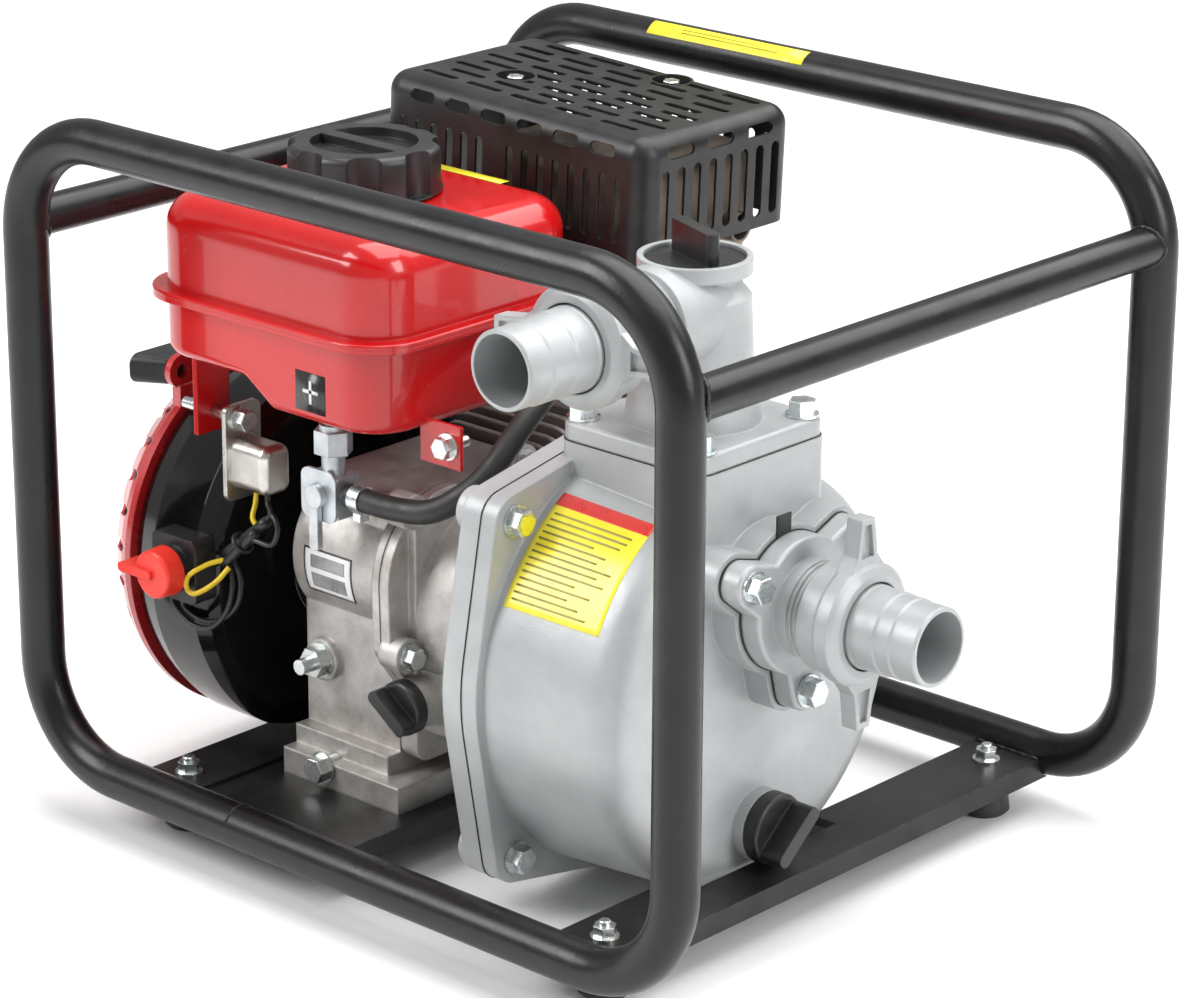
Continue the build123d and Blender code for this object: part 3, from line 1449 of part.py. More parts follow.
with BuildPart() as outlet_elbow:
    with BuildSketch(Plane.XY.offset(elbow_base)):
        with Locations((outlet_x, (box_y[0] + box_y[1]) / 2)):
            RectangleRounded(box_x[1] - box_x[0], box_y[1] - box_y[0], 9)
    extrude(amount=elbow_plate)
    fillet(outlet_elbow.faces().sort_by(Axis.Z)[-1].edges(), 2.5)
    add(turned([
        (0, elbow_base), (34, elbow_base), (32, elbow_base + 16), (28.5, elbow_base + 36), (28, 288),
        (27, 304), (23, 309), (22, 312), (22, 314), (27.5, 315.5), (27.5, neck_top), (0, neck_top),
    ], Plane((outlet_x, shaft_y, 0))))
    with BuildSketch(outlet_plane.offset(-shaft_y)):
        Circle(27)
    extrude(amount=36)
    with BuildSketch(outlet_plane.offset(-shaft_y)):
        Circle(thread_r)
    extrude(amount=outlet_neck_end + shaft_y)
    # waterway
    with BuildSketch(Plane.XY.offset(elbow_base - 1)):
        with Locations((outlet_x, shaft_y)):
            Circle(20)
    extrude(amount=outlet_z - elbow_base + 8, mode=Mode.SUBTRACT)
    with BuildSketch(Plane.XY.offset(outlet_z)):
        with Locations((outlet_x, shaft_y)):
            Circle(17)
    extrude(amount=40, mode=Mode.SUBTRACT)
    with BuildSketch(Plane.XY.offset(neck_top - 6)):
        with Locations((outlet_x, shaft_y)):
            Circle(24.5)
    extrude(amount=8, mode=Mode.SUBTRACT)
    with BuildSketch(outlet_plane.offset(-shaft_y)):
        Circle(18)
    extrude(amount=80, mode=Mode.SUBTRACT)
    with BuildSketch(Plane.XY.offset(elbow_base - 1)):
        with Locations(*top_spots):
            Circle(4.2)
    extrude(amount=12, mode=Mode.SUBTRACT)
outlet_elbow.part.label = "outlet_elbow"
export_step(outlet_elbow.part, "parts/outlet_elbow.step")

outlet_turned = Plane(origin=(outlet_x, 0, outlet_z), x_dir=(0, 0, 1), z_dir=(0, -1, 0))

with BuildPart() as outlet_union_nut:
    add(placed(wing_nut(), [outlet_turned.offset(outlet_nut_start)]))
outlet_union_nut.part.label = "outlet_union_nut"
export_step(outlet_union_nut.part, "parts/outlet_union_nut.step")

with BuildPart() as outlet_hose_tail:
    add(placed(hose_tail(outlet_tail_length, 11.5), [outlet_turned.offset(outlet_tail_start)]))
outlet_hose_tail.part.label = "outlet_hose_tail"
export_step(outlet_hose_tail.part, "parts/outlet_hose_tail.step")

with BuildPart() as priming_cap:
    with BuildSketch(Plane.XY.offset(neck_top - 6 + 0.2)):
        with Locations((outlet_x, shaft_y)):
            Circle(24)
    extrude(amount=4)
    with BuildSketch(Plane.XY.offset(neck_top - 3)):
        with Locations(Location((outlet_x, shaft_y, 0), (0, 0, -20))):
            RectangleRounded(38, 7, 3)
    extrude(amount=17)
    with BuildSketch(Plane.XY.offset(neck_top - 14)):
        with Locations((outlet_x, shaft_y)):
            Circle(16.5)
    extrude(amount=9)
priming_cap.part.label = "priming_cap"
export_step(priming_cap.part, "parts/priming_cap.step")

drain_seat = pump_front + 7
with BuildPart() as pump_drain_plug:
    with BuildSketch(drain_axis.offset(drain_seat + free_gap)):
        Circle(18)
    extrude(amount=8)
    fillet(pump_drain_plug.faces().sort_by(Axis.X)[-1].edges(), 2)
    with BuildSketch(drain_axis.offset(drain_seat + 7)):
        with Locations(Location((0, 0, 0), (0, 0, 40))):
            RectangleRounded(34, 8, 3.5)
    extrude(amount=14)
    with BuildSketch(drain_axis.offset(drain_seat + free_gap)):
        Circle(10.5)
    extrude(amount=-16)
pump_drain_plug.part.label = "pump_drain_plug"
export_step(pump_drain_plug.part, "parts/pump_drain_plug.step")

# ================= shared fasteners and gaskets =================
head_planes = [shifted(shaft_end, y, z, flange_front) for y, z in corner_spots]
inlet_head_planes = [shifted(inlet_plane, y, z, inlet_flange_x + 11) for y, z in inlet_spots]
top_head_planes = [Plane((x, y, elbow_base + elbow_plate)) for x, y in top_spots]
tray_head_planes = [
    Plane(origin=(x, y, tray_top - sheet), x_dir=(1, 0, 0), z_dir=(0, 0, -1)) for x, y in engine_bolt_spots
]

with BuildPart() as pump_bolts:
    add(placed(flange_bolt(12, 3.8, 24), head_planes))
    add(placed(flange_bolt(12, 3.8, 22), inlet_head_planes))
    add(placed(flange_bolt(12, 3.8, 13), top_head_planes))
    add(placed(flange_bolt(12, 3.9, 12), tray_head_planes))
pump_bolts.part.label = "pump_bolts"
export_step(pump_bolts.part, "parts/pump_bolts.step")

guard_head_planes = [Plane((x, y, guard_top - dimple_depth)) for x, y in guard_spots]

with BuildPart() as guard_bolts:
    add(placed(flange_bolt(8, 2.9, 11), guard_head_planes))

with BuildPart() as engine_bolts:
    add(placed(flange_bolt(10, 2.9, 12), [lug.offset(2) for lug in cover_lugs]))
    add(placed(flange_bolt(10, 3, 40), [stay_bolt_plane]))
    add(placed(flange_bolt(10, 3, 12), [tab_bolt_plane]))
    add(guard_bolts.part.rotate(tilt_axis, guard_tilt))
engine_bolts.part.label = "engine_bolts"
export_step(engine_bolts.part, "parts/engine_bolts.step")

with BuildPart() as cover_gasket:
    add(block((case_x[1], cover_x[0]), (-90, 40), (47, 182)))
    fillet(cover_gasket.edges().filter_by(Axis.X), 8)
    add(joint_rim(case_x[1], cover_x[0] - case_x[1]))
    with BuildSketch(shaft_end.offset(case_x[1] - 1)):
        Rectangle(104, 116)
    extrude(amount=3, mode=Mode.SUBTRACT)
    add(beyond_deck(), mode=Mode.SUBTRACT)

with BuildPart() as casing_gasket:
    add(flange_plate(pump_joint, 0.5, 0.4))
    with BuildSketch(shaft_end.offset(pump_joint - 1)):
        Circle(shell_r)
    extrude(amount=3, mode=Mode.SUBTRACT)
    add(drilled(pump_joint - 1, 3, 4.2), mode=Mode.SUBTRACT)

with BuildPart() as inlet_gasket:
    add(lobed_plate(inlet_plane, pump_front + 15, 1, 34.6, 11, inlet_spots))
    with BuildSketch(inlet_plane.offset(pump_front + 15)):
        with Locations((-4, 36)):
            Rectangle(10, 16)
    extrude(amount=1)
    with BuildSketch(inlet_plane.offset(pump_front + 14)):
        Circle(18.5)
        with Locations(*inlet_spots):
            Circle(4.2)
    extrude(amount=3, mode=Mode.SUBTRACT)

with BuildPart() as top_gasket:
    with BuildSketch(Plane.XY.offset(top_joint)):
        with Locations((outlet_x, (box_y[0] + box_y[1]) / 2)):
            RectangleRounded(box_x[1] - box_x[0] + 0.8, box_y[1] - box_y[0] + 0.8, 9)
        with Locations((outlet_x, shaft_y)):
            Circle(20.5, mode=Mode.SUBTRACT)
        with Locations(*top_spots):
            Circle(4.2, mode=Mode.SUBTRACT)
    extrude(amount=0.6)

with BuildPart() as gaskets:
    for seal in (cover_gasket, casing_gasket, inlet_gasket, top_gasket):
        add(seal.part)
gaskets.part.label = "gaskets"
export_step(gaskets.part, "parts/gaskets.step")
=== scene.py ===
import json
import math

import bmesh
import bpy
from mathutils import Matrix, Vector


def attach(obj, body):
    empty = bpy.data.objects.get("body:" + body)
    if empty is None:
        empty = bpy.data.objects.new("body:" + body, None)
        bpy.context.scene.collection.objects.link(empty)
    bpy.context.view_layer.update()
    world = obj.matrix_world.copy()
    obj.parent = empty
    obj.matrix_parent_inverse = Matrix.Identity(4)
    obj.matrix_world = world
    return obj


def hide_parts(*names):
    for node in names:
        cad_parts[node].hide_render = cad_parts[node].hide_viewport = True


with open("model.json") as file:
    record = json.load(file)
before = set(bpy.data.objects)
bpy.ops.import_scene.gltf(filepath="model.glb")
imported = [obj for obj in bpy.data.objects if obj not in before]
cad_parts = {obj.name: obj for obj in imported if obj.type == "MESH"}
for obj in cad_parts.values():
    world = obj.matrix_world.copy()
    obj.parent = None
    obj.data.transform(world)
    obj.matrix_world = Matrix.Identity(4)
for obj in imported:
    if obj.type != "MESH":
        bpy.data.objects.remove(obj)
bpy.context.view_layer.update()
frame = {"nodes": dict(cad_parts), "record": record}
nodes = frame["nodes"]

MM = 0.001  # the frame is in metres

# where the CAD bodies' faces are that labels and welds lie on
SHAFT = Vector((0, -28, 118)) * MM
DRUM_R = 110 * MM
DRUM_TAPER = 6 * MM
DRUM_START = 40.5 * MM
DRUM_LENGTH = 89.5 * MM
CASE_AXIS = Vector((0, -60, 141)) * MM
CASE_R = 39 * MM
TANK_SIDE_Y = -123 * MM
TANK_TOP_Z = 320 * MM
HOOP_Y = 174 * MM
HOOP_R = 11.25 * MM
HOOP_LOW_Z = 28 * MM
HOOP_TOP_AXIS = Vector((0, HOOP_Y, 358.4 * MM))
HANDS = ((-1, "right"), (1, "left"))  # sign of Y on each side

# label layers: the film, a coloured layer over it, and print over both
FILM_GAP = 0.06 * MM
FILM_THICK = 0.12 * MM
OVER_FILM = 0.14 * MM
LAYER_THICK = 0.04 * MM
OVER_LAYER = 0.2 * MM
PRINT_THICK = 0.03 * MM
FLAT = (2, 2)  # mesh steps of a film on a flat face


# ================= materials =================
class Shader:
    """A Principled material whose texture nodes are added a few at a time."""

    def __init__(self, name):
        self.material = bpy.data.materials.new(name)
        self.material.use_nodes = True
        self.tree = self.material.node_tree
        self.tree.nodes.clear()
        self.output = self.tree.nodes.new("ShaderNodeOutputMaterial")
        self.bsdf = self.tree.nodes.new("ShaderNodeBsdfPrincipled")
        self.tree.links.new(self.bsdf.outputs[0], self.output.inputs[0])
        self.coords = self.tree.nodes.new("ShaderNodeTexCoord").outputs["Object"]

    def node(self, kind, **values):
        made = self.tree.nodes.new(kind)
        for key, value in values.items():
            setattr(made, key, value)
        return made

    def link(self, source, target):
        self.tree.links.new(source, target)

    def set(self, **values):
        for key, value in values.items():
            self.bsdf.inputs[key.replace("_", " ")].default_value = value

    def noise(self, scale, detail, rough=0.5):
        texture = self.node("ShaderNodeTexNoise")
        texture.inputs["Scale"].default_value = scale
        texture.inputs["Detail"].default_value = detail
        texture.inputs["Roughness"].default_value = rough
        self.link(self.coords, texture.inputs["Vector"])
        return texture.outputs["Fac"]

    def ramp(self, source, stops):
        """Colours by the source's value; stops are (value, colour) pairs."""
        ramp = self.node("ShaderNodeValToRGB")
        elements = ramp.color_ramp.elements
        while len(elements) < len(stops):
            elements.new(0.5)
        for element, (place, color) in zip(elements, stops):
            element.position = place
            element.color = (*color, 1.0)
        self.link(source, ramp.inputs["Fac"])
        return ramp.outputs["Color"]

    def spread(self, source, low, high, start=0.3, end=0.7):
        """Goes from low to high as the source goes from start to end."""
        mapped = self.node("ShaderNodeMapRange")
        mapped.inputs["From Min"].default_value = start
        mapped.inputs["From Max"].default_value = end
        mapped.inputs["To Min"].default_value = low
        mapped.inputs["To Max"].default_value = high
        self.link(source, mapped.inputs["Value"])
        return mapped.outputs["Result"]

    def mix(self, factor, source, color):
        """The source's colour, or the plain colour where the factor is bright."""
        factor_socket, first_socket, second_socket, result_socket = 0, 6, 7, 2
        mixer = self.node("ShaderNodeMix", data_type="RGBA")
        self.link(factor, mixer.inputs[factor_socket])
        self.link(source, mixer.inputs[first_socket])
        mixer.inputs[second_socket].default_value = (*color, 1.0)
        return mixer.outputs[result_socket]

    def product(self, first, second):
        multiply = self.node("ShaderNodeMath", operation="MULTIPLY")
        self.link(first, multiply.inputs[0])
        self.link(second, multiply.inputs[1])
        return multiply.outputs[0]

    def rounded(self, radius):
        """Normals as if the edges were rounded off by the radius."""
        bevel = self.node("ShaderNodeBevel", samples=4)
        bevel.inputs["Radius"].default_value = radius
        return bevel.outputs["Normal"]

    def edges(self, radius):
        """Bright where the surface turns sharply within the radius."""
        geometry = self.node("ShaderNodeNewGeometry")
        likeness = self.node("ShaderNodeVectorMath", operation="DOT_PRODUCT")
        self.link(self.rounded(radius), likeness.inputs[0])
        self.link(geometry.outputs["Normal"], likeness.inputs[1])
        return self.spread(likeness.outputs["Value"], 1.0, 0.0, 0.6, 0.97)

    def bump(self, heights, base_normal=None):
        """Heights are (source, depth) pairs, stacked one on the other, on the base normal."""
        normal = base_normal
        for source, depth in heights:
            bump = self.node("ShaderNodeBump")
            bump.inputs["Strength"].default_value = 1.0
            bump.inputs["Distance"].default_value = depth
            self.link(source, bump.inputs["Height"])
            if normal is not None:
                self.link(normal, bump.inputs["Normal"])
            normal = bump.outputs["Normal"]
        self.link(normal, self.bsdf.inputs["Normal"])

    def color(self, source):
        self.link(source, self.bsdf.inputs["Base Color"])

    def roughness(self, source):
        self.link(source, self.bsdf.inputs["Roughness"])


def powder_coat():
    """Satin black powder coat: fine orange peel, faint dust and rubbed spots."""
    m = Shader("powder_coat_black")
    m.color(m.ramp(m.noise(35, 5), [(0.35, (0.004, 0.004, 0.005)), (0.75, (0.010, 0.010, 0.011))]))
    m.roughness(m.spread(m.noise(60, 4), 0.26, 0.36))
    m.set(Specular_IOR_Level=0.4)
    m.bump([(m.noise(700, 2), 0.06 * MM), (m.noise(160, 2), 0.05 * MM)], m.rounded(0.6 * MM))
    return m.material


def base_sheet():
    """The same coat on folded sheet, with scuffed edges and oil smears."""
    m = Shader("base_sheet_black")
    coat = m.ramp(m.noise(28, 6), [(0.3, (0.006, 0.006, 0.006)), (0.7, (0.018, 0.017, 0.016))])
    worn = m.product(m.edges(0.8 * MM), m.spread(m.noise(220, 4), 0.0, 1.0, 0.55, 0.7))
    m.color(m.mix(worn, coat, (0.22, 0.21, 0.2)))
    m.roughness(m.spread(m.noise(45, 5), 0.28, 0.5))
    m.set(Specular_IOR_Level=0.35)
    m.bump([(m.noise(650, 2), 0.06 * MM)], m.rounded(0.8 * MM))
    return m.material


def satin_sheet():
    """Heat-proof satin black on the pressed muffler guard."""
    m = Shader("guard_satin_black")
    m.color(m.ramp(m.noise(50, 4), [(0.3, (0.008, 0.008, 0.008)), (0.7, (0.02, 0.02, 0.02))]))
    m.roughness(m.spread(m.noise(90, 3), 0.32, 0.44))
    m.set(Specular_IOR_Level=0.4)
    m.bump([(m.noise(900, 2), 0.06 * MM)], m.rounded(0.6 * MM))
    return m.material


def gloss_black():
    """Stoved gloss black on the blower housing."""
    m = Shader("gloss_black")
    m.color(m.ramp(m.noise(20, 3), [(0.3, (0.004, 0.004, 0.004)), (0.7, (0.009, 0.008, 0.008))]))
    m.roughness(m.spread(m.noise(40, 3), 0.07, 0.14))
    m.set(Specular_IOR_Level=0.3, Coat_Weight=0.2, Coat_Roughness=0.05)
    m.bump([(m.noise(120, 2), 0.04 * MM)], m.rounded(1 * MM))
    return m.material


def tank_red():
    """Deep gloss red enamel with slight orange peel."""
    m = Shader("tank_red")
    m.color(m.ramp(m.noise(14, 3), [(0.3, (0.46, 0.003, 0.004)), (0.7, (0.56, 0.006, 0.007))]))
    m.roughness(m.spread(m.noise(60, 3), 0.2, 0.28))
    m.set(Specular_IOR_Level=0.35, Coat_Weight=0.6, Coat_Roughness=0.05)
    m.bump([(m.noise(170, 2), 0.04 * MM)], m.rounded(1.2 * MM))
    return m.material


def recoil_red():
    """Gloss red enamel on the pressed starter cover."""
    m = Shader("recoil_red")
    m.color(m.ramp(m.noise(18, 3), [(0.3, (0.42, 0.012, 0.016)), (0.7, (0.55, 0.02, 0.022))]))
    m.roughness(m.spread(m.noise(70, 3), 0.2, 0.3))
    m.set(Coat_Weight=0.7, Coat_Roughness=0.1)
    m.bump([(m.noise(180, 2), 0.04 * MM)], m.rounded(1 * MM))
    return m.material


def pump_casting():
    """Pressure die-cast aluminium under a pale satin spray, a little grainy, with every edge painted
    lighter as a painted highlight.
    """
    m = Shader("pump_casting_grey")
    shade = m.ramp(m.noise(22, 6, 0.6), [(0.3, (0.36, 0.375, 0.38)), (0.7, (0.45, 0.462, 0.468))])
    # painted highlight: the colour turns a lighter grey along every sharp edge, where light would
    # catch a rounded edge
    m.color(m.mix(m.edges(1.2 * MM), shade, (0.54, 0.55, 0.55)))
    m.roughness(m.spread(m.noise(80, 4), 0.36, 0.5))
    m.set(Metallic=0.3, Specular_IOR_Level=0.5)
    m.bump([(m.noise(1100, 3), 0.09 * MM), (m.noise(230, 3), 0.08 * MM)], m.rounded(1.4 * MM))
    return m.material


def engine_casting():
    """Bare sand-finish aluminium, warmer and rougher, with brown stains in random patches."""
    m = Shader("engine_casting")
    clean = m.ramp(m.noise(60, 6, 0.65), [
        (0.25, (0.36, 0.34, 0.32)), (0.5, (0.5, 0.48, 0.46)), (0.8, (0.62, 0.61, 0.6)),
    ])
    stain = m.spread(m.noise(24, 6, 0.7), 0.0, 0.5, 0.52, 0.75)
    m.color(m.mix(stain, clean, (0.24, 0.17, 0.12)))
    m.roughness(m.spread(m.noise(110, 5), 0.36, 0.6))
    m.set(Metallic=0.7)
    m.bump([(m.noise(1300, 3), 0.16 * MM), (m.noise(260, 4), 0.14 * MM)], m.rounded(1.8 * MM))
    return m.material


def zinc():
    """Bright zinc plate with a cool, faintly yellow bloom."""
    m = Shader("zinc_plate")
    m.color(m.ramp(m.noise(120, 4), [
        (0.3, (0.55, 0.6, 0.62)), (0.55, (0.7, 0.73, 0.72)), (0.8, (0.72, 0.7, 0.6)),
    ]))
    m.roughness(m.spread(m.noise(300, 3), 0.2, 0.38))
    m.set(Metallic=1.0)
    m.bump([(m.noise(1500, 2), 0.04 * MM)], m.rounded(0.5 * MM))
    return m.material


def machined_steel():
    """Turned steel with fine tool rings."""
    m = Shader("machined_steel")
    m.color(m.ramp(m.noise(90, 3), [(0.3, (0.42, 0.42, 0.42)), (0.7, (0.58, 0.58, 0.57))]))
    m.roughness(m.spread(m.noise(400, 3), 0.22, 0.4))
    m.set(Metallic=1.0)
    m.bump([(m.noise(2000, 2), 0.03 * MM)], m.rounded(0.4 * MM))
    return m.material


def muffler_steel():
    """Sheet steel tanned by heat."""
    m = Shader("muffler_steel")
    m.color(m.ramp(m.noise(30, 5), [(0.3, (0.12, 0.10, 0.085)), (0.7, (0.3, 0.25, 0.2))]))
    m.roughness(m.spread(m.noise(90, 4), 0.4, 0.65))
    m.set(Metallic=0.9)
    m.bump([(m.noise(500, 3), 0.1 * MM)], m.rounded(1 * MM))
    return m.material


def bare_sheet():
    """Bright tinned sheet, slightly dulled."""
    m = Shader("bare_sheet")
    m.color(m.ramp(m.noise(80, 4), [(0.3, (0.48, 0.46, 0.42)), (0.7, (0.66, 0.64, 0.6))]))
    m.roughness(m.spread(m.noise(150, 4), 0.25, 0.42))
    m.set(Metallic=1.0)
    m.bump([(m.noise(700, 2), 0.06 * MM)], m.rounded(0.8 * MM))
    return m.material


def diecast_zinc():
    """Grey zinc die casting with a soft sheen."""
    m = Shader("diecast_zinc")
    m.color(m.ramp(m.noise(100, 4), [(0.3, (0.42, 0.45, 0.47)), (0.7, (0.6, 0.63, 0.65))]))
    m.roughness(m.spread(m.noise(240, 4), 0.3, 0.46))
    m.set(Metallic=0.85)
    m.bump([(m.noise(1200, 3), 0.08 * MM)], m.rounded(0.8 * MM))
    return m.material


def cast_iron():
    """Dark sandy iron."""
    m = Shader("cast_iron")
    m.color(m.ramp(m.noise(90, 5), [(0.3, (0.05, 0.05, 0.05)), (0.7, (0.13, 0.125, 0.12))]))
    m.roughness(m.spread(m.noise(200, 4), 0.5, 0.7))
    m.set(Metallic=0.8)
    m.bump([(m.noise(1000, 4), 0.2 * MM)], m.rounded(1.2 * MM))
    return m.material


def black_plastic():
    """Moulded black nylon with a fine spark-eroded grain."""
    m = Shader("moulded_black")
    m.color(m.ramp(m.noise(70, 3), [(0.3, (0.009, 0.009, 0.010)), (0.7, (0.02, 0.02, 0.021))]))
    m.roughness(m.spread(m.noise(200, 3), 0.3, 0.42))
    m.bump([(m.noise(1600, 2), 0.08 * MM)], m.rounded(1 * MM))
    return m.material


def red_plastic():
    """Opaque bright red moulding."""
    m = Shader("moulded_red")
    m.color(m.ramp(m.noise(60, 3), [(0.3, (0.72, 0.025, 0.012)), (0.7, (0.82, 0.04, 0.02))]))
    m.roughness(m.spread(m.noise(200, 3), 0.28, 0.38))
    m.set(Subsurface_Weight=0.05, Subsurface_Scale=2 * MM)
    m.bump([(m.noise(1500, 2), 0.05 * MM)], m.rounded(1.2 * MM))
    return m.material


def rubber():
    """Black rubber, dull and slightly dusty."""
    m = Shader("rubber_black")
    m.color(m.ramp(m.noise(60, 5), [(0.3, (0.010, 0.010, 0.010)), (0.75, (0.028, 0.027, 0.026))]))
    m.roughness(m.spread(m.noise(160, 4), 0.42, 0.58))
    m.bump([(m.noise(900, 3), 0.08 * MM)], m.rounded(0.5 * MM))
    return m.material


def insulation(name, dark, light):
    """Soft vinyl wire cover."""
    m = Shader(name)
    m.color(m.ramp(m.noise(120, 3), [(0.3, dark), (0.7, light)]))
    m.roughness(m.spread(m.noise(300, 3), 0.3, 0.42))
    m.bump([(m.noise(1500, 2), 0.03 * MM)])
    return m.material


def printed(name, dark, light):
    """Printed vinyl film, satin, with a faint unevenness."""
    m = Shader(name)
    m.color(m.ramp(m.noise(80, 3), [(0.3, dark), (0.7, light)]))
    m.roughness(m.spread(m.noise(200, 3), 0.26, 0.38))
    m.set(Coat_Weight=0.3, Coat_Roughness=0.15)
    m.bump([(m.noise(300, 2), 0.03 * MM)])
    return m.material


finish = {
    "frame_black": powder_coat(),
    "rubber_black": rubber(),
    "zinc": zinc(),
    "engine_casting": engine_casting(),
    "dark_sheet": satin_sheet(),
    "gloss_black": gloss_black(),
    "recoil_red": recoil_red(),
    "tank_red": tank_red(),
    "machined_steel": machined_steel(),
    "piston_alloy": machined_steel(),
    "cast_iron": cast_iron(),
    "black_plastic": black_plastic(),
    "red_plastic": red_plastic(),
    "diecast_zinc": diecast_zinc(),
    "bare_steel": bare_sheet(),
    "wire_sleeve": insulation("wire_black", (0.008, 0.008, 0.008), (0.02, 0.02, 0.02)),
    "pump_casting": pump_casting(),
}
base_black = base_sheet()
own_finish = {
    "front_base_channel": base_black,
    "rear_base_channel": base_black,
    "engine_tray": base_black,
    "muffler": muffler_steel(),
}
yellow_wire = insulation("wire_yellow", (0.62, 0.42, 0.01), (0.78, 0.55, 0.02))
yellow_film = printed("film_yellow", (0.78, 0.66, 0.02), (0.86, 0.74, 0.04))
red_film = printed("film_red", (0.55, 0.02, 0.015), (0.66, 0.03, 0.02))
white_film = printed("film_white", (0.72, 0.72, 0.72), (0.8, 0.8, 0.8))
black_film = printed("film_black", (0.012, 0.012, 0.012), (0.025, 0.025, 0.025))
print_ink = printed("print_ink", (0.20, 0.17, 0.02), (0.32, 0.27, 0.03))
print_grey = printed("print_grey", (0.16, 0.16, 0.16), (0.34, 0.34, 0.34))
yellow_paint = printed("paint_yellow", (0.70, 0.62, 0.02), (0.82, 0.75, 0.04))

slot_of = {row["node"]: row["material_slot"] for row in frame["record"]["subparts"]}
for name, thing in nodes.items():
    chosen = own_finish.get(name, finish[slot_of[name]])
    if not thing.material_slots:
        thing.data.materials.append(chosen)
    for material_slot in thing.material_slots:
        material_slot.material = chosen


# ================= mesh helpers =================
def turns(count):
    """Angles of that many equal steps round a circle."""
    return [2 * math.pi * step / count for step in range(count)]


def between(limits, step, count):
    """The value at one step of an even walk from the first limit to the second."""
    return limits[0] + (limits[1] - limits[0]) * step / count


def piece(name, shape, material, body="root"):
    """Puts a closed shape in the scene as a smooth mesh that rides on its body."""
    bmesh.ops.recalc_face_normals(shape, faces=shape.faces)
    mesh = bpy.data.meshes.new(name)
    shape.to_mesh(mesh)
    shape.free()
    mesh.materials.append(material)
    for polygon in mesh.polygons:
        polygon.use_smooth = True
    made = bpy.data.objects.new(name, mesh)
    bpy.context.scene.collection.objects.link(made)
    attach(made, body)
    return made


def film(name, surface, across, along, material, thick=FILM_THICK, steps=(24, 24)):
    """Closed thin sheet lying on surface(u, v, height) between the given limits."""
    sheet = bmesh.new()
    low, high = (
        [
            [
                sheet.verts.new(
                    surface(between(across, i, steps[0]), between(along, j, steps[1]), height)
                )
                for j in range(steps[1] + 1)
            ]
            for i in range(steps[0] + 1)
        ]
        for height in (FILM_GAP, FILM_GAP + thick)
    )
    for i in range(steps[0]):
        for j in range(steps[1]):
            sheet.faces.new((high[i][j], high[i + 1][j], high[i + 1][j + 1], high[i][j + 1]))
            sheet.faces.new((low[i][j], low[i][j + 1], low[i + 1][j + 1], low[i + 1][j]))
    rim = [(i, 0) for i in range(steps[0])]
    rim += [(steps[0], j) for j in range(steps[1])]
    rim += [(i, steps[1]) for i in range(steps[0], 0, -1)]
    rim += [(0, j) for j in range(steps[1], 0, -1)]
    for (a, b), (c, d) in zip(rim, rim[1:] + rim[:1]):
        sheet.faces.new((low[a][b], low[c][d], high[c][d], high[a][b]))
    return piece(name, sheet, material)


def swept(name, centres, radius, material, sides=12, closed=False, wobble=0.0):
    """Round bead or wire through the centres; wobble makes it uneven, as weld is."""
    tube = bmesh.new()
    count = len(centres)
    guide = Vector((0.31, 0.52, 0.79))  # aslant, so that no bead or wire runs along it
    rings = []
    for i, centre in enumerate(centres):
        ahead = centres[(i + 1) % count] if closed or i + 1 < count else centre
        behind = centres[i - 1] if closed or i > 0 else centre
        forward = (ahead - behind).normalized()
        side = forward.cross(guide).normalized()
        up = side.cross(forward).normalized()
        size = radius * (1 + wobble * math.sin(i * 2.4) * math.cos(i * 0.9))
        rings.append([
            tube.verts.new(centre + side * size * math.cos(a) + up * size * math.sin(a))
            for a in turns(sides)
        ])
    for i in range(count if closed else count - 1):
        here, there = rings[i], rings[(i + 1) % count]
        for k in range(sides):
            tube.faces.new((here[k], here[(k + 1) % sides], there[(k + 1) % sides], there[k]))
    if not closed:
        tube.faces.new(rings[0][::-1])
        tube.faces.new(rings[-1])
    return piece(name, tube, material)


def smooth_run(points, spans=14):
    """Catmull-Rom run through points given in millimetres, in metres."""
    knots = [Vector(point) * MM for point in points]
    knots = [knots[0] * 2 - knots[1]] + knots + [knots[-1] * 2 - knots[-2]]
    run = []
    for a, b, c, d in zip(knots, knots[1:], knots[2:], knots[3:]):
        bend = 2 * a - 5 * b + 4 * c - d
        twist = 3 * b - a - 3 * c + d
        for step in range(spans):
            t = step / spans
            run.append(0.5 * (2 * b + (c - a) * t + bend * t**2 + twist * t**3))
    run.append(knots[-2])
    return run


def straight_run(start, end, spans=8):
    """Even points between two given in millimetres, in metres."""
    return [Vector(start).lerp(Vector(end), step / spans) * MM for step in range(spans + 1)]


# ================= ignition leads =================
def lead_tie():
    """Flattened loop round both sleeves, square to the way that they run."""
    centre = Vector((-133, -119.2, 149))
    half_width, half_depth = 5.2, 6.2
    along = Vector((-23, -6, -20)).normalized()
    side = along.cross(Vector((0, 1, 0))).normalized()
    other = side.cross(along).normalized()
    loop = [
        (centre + side * half_width * math.cos(a) + other * half_depth * math.sin(a)) * MM
        for a in turns(40)
    ]
    black = finish["black_plastic"]
    return swept("lead_tie", loop, 1.1 * MM, black, closed=True)


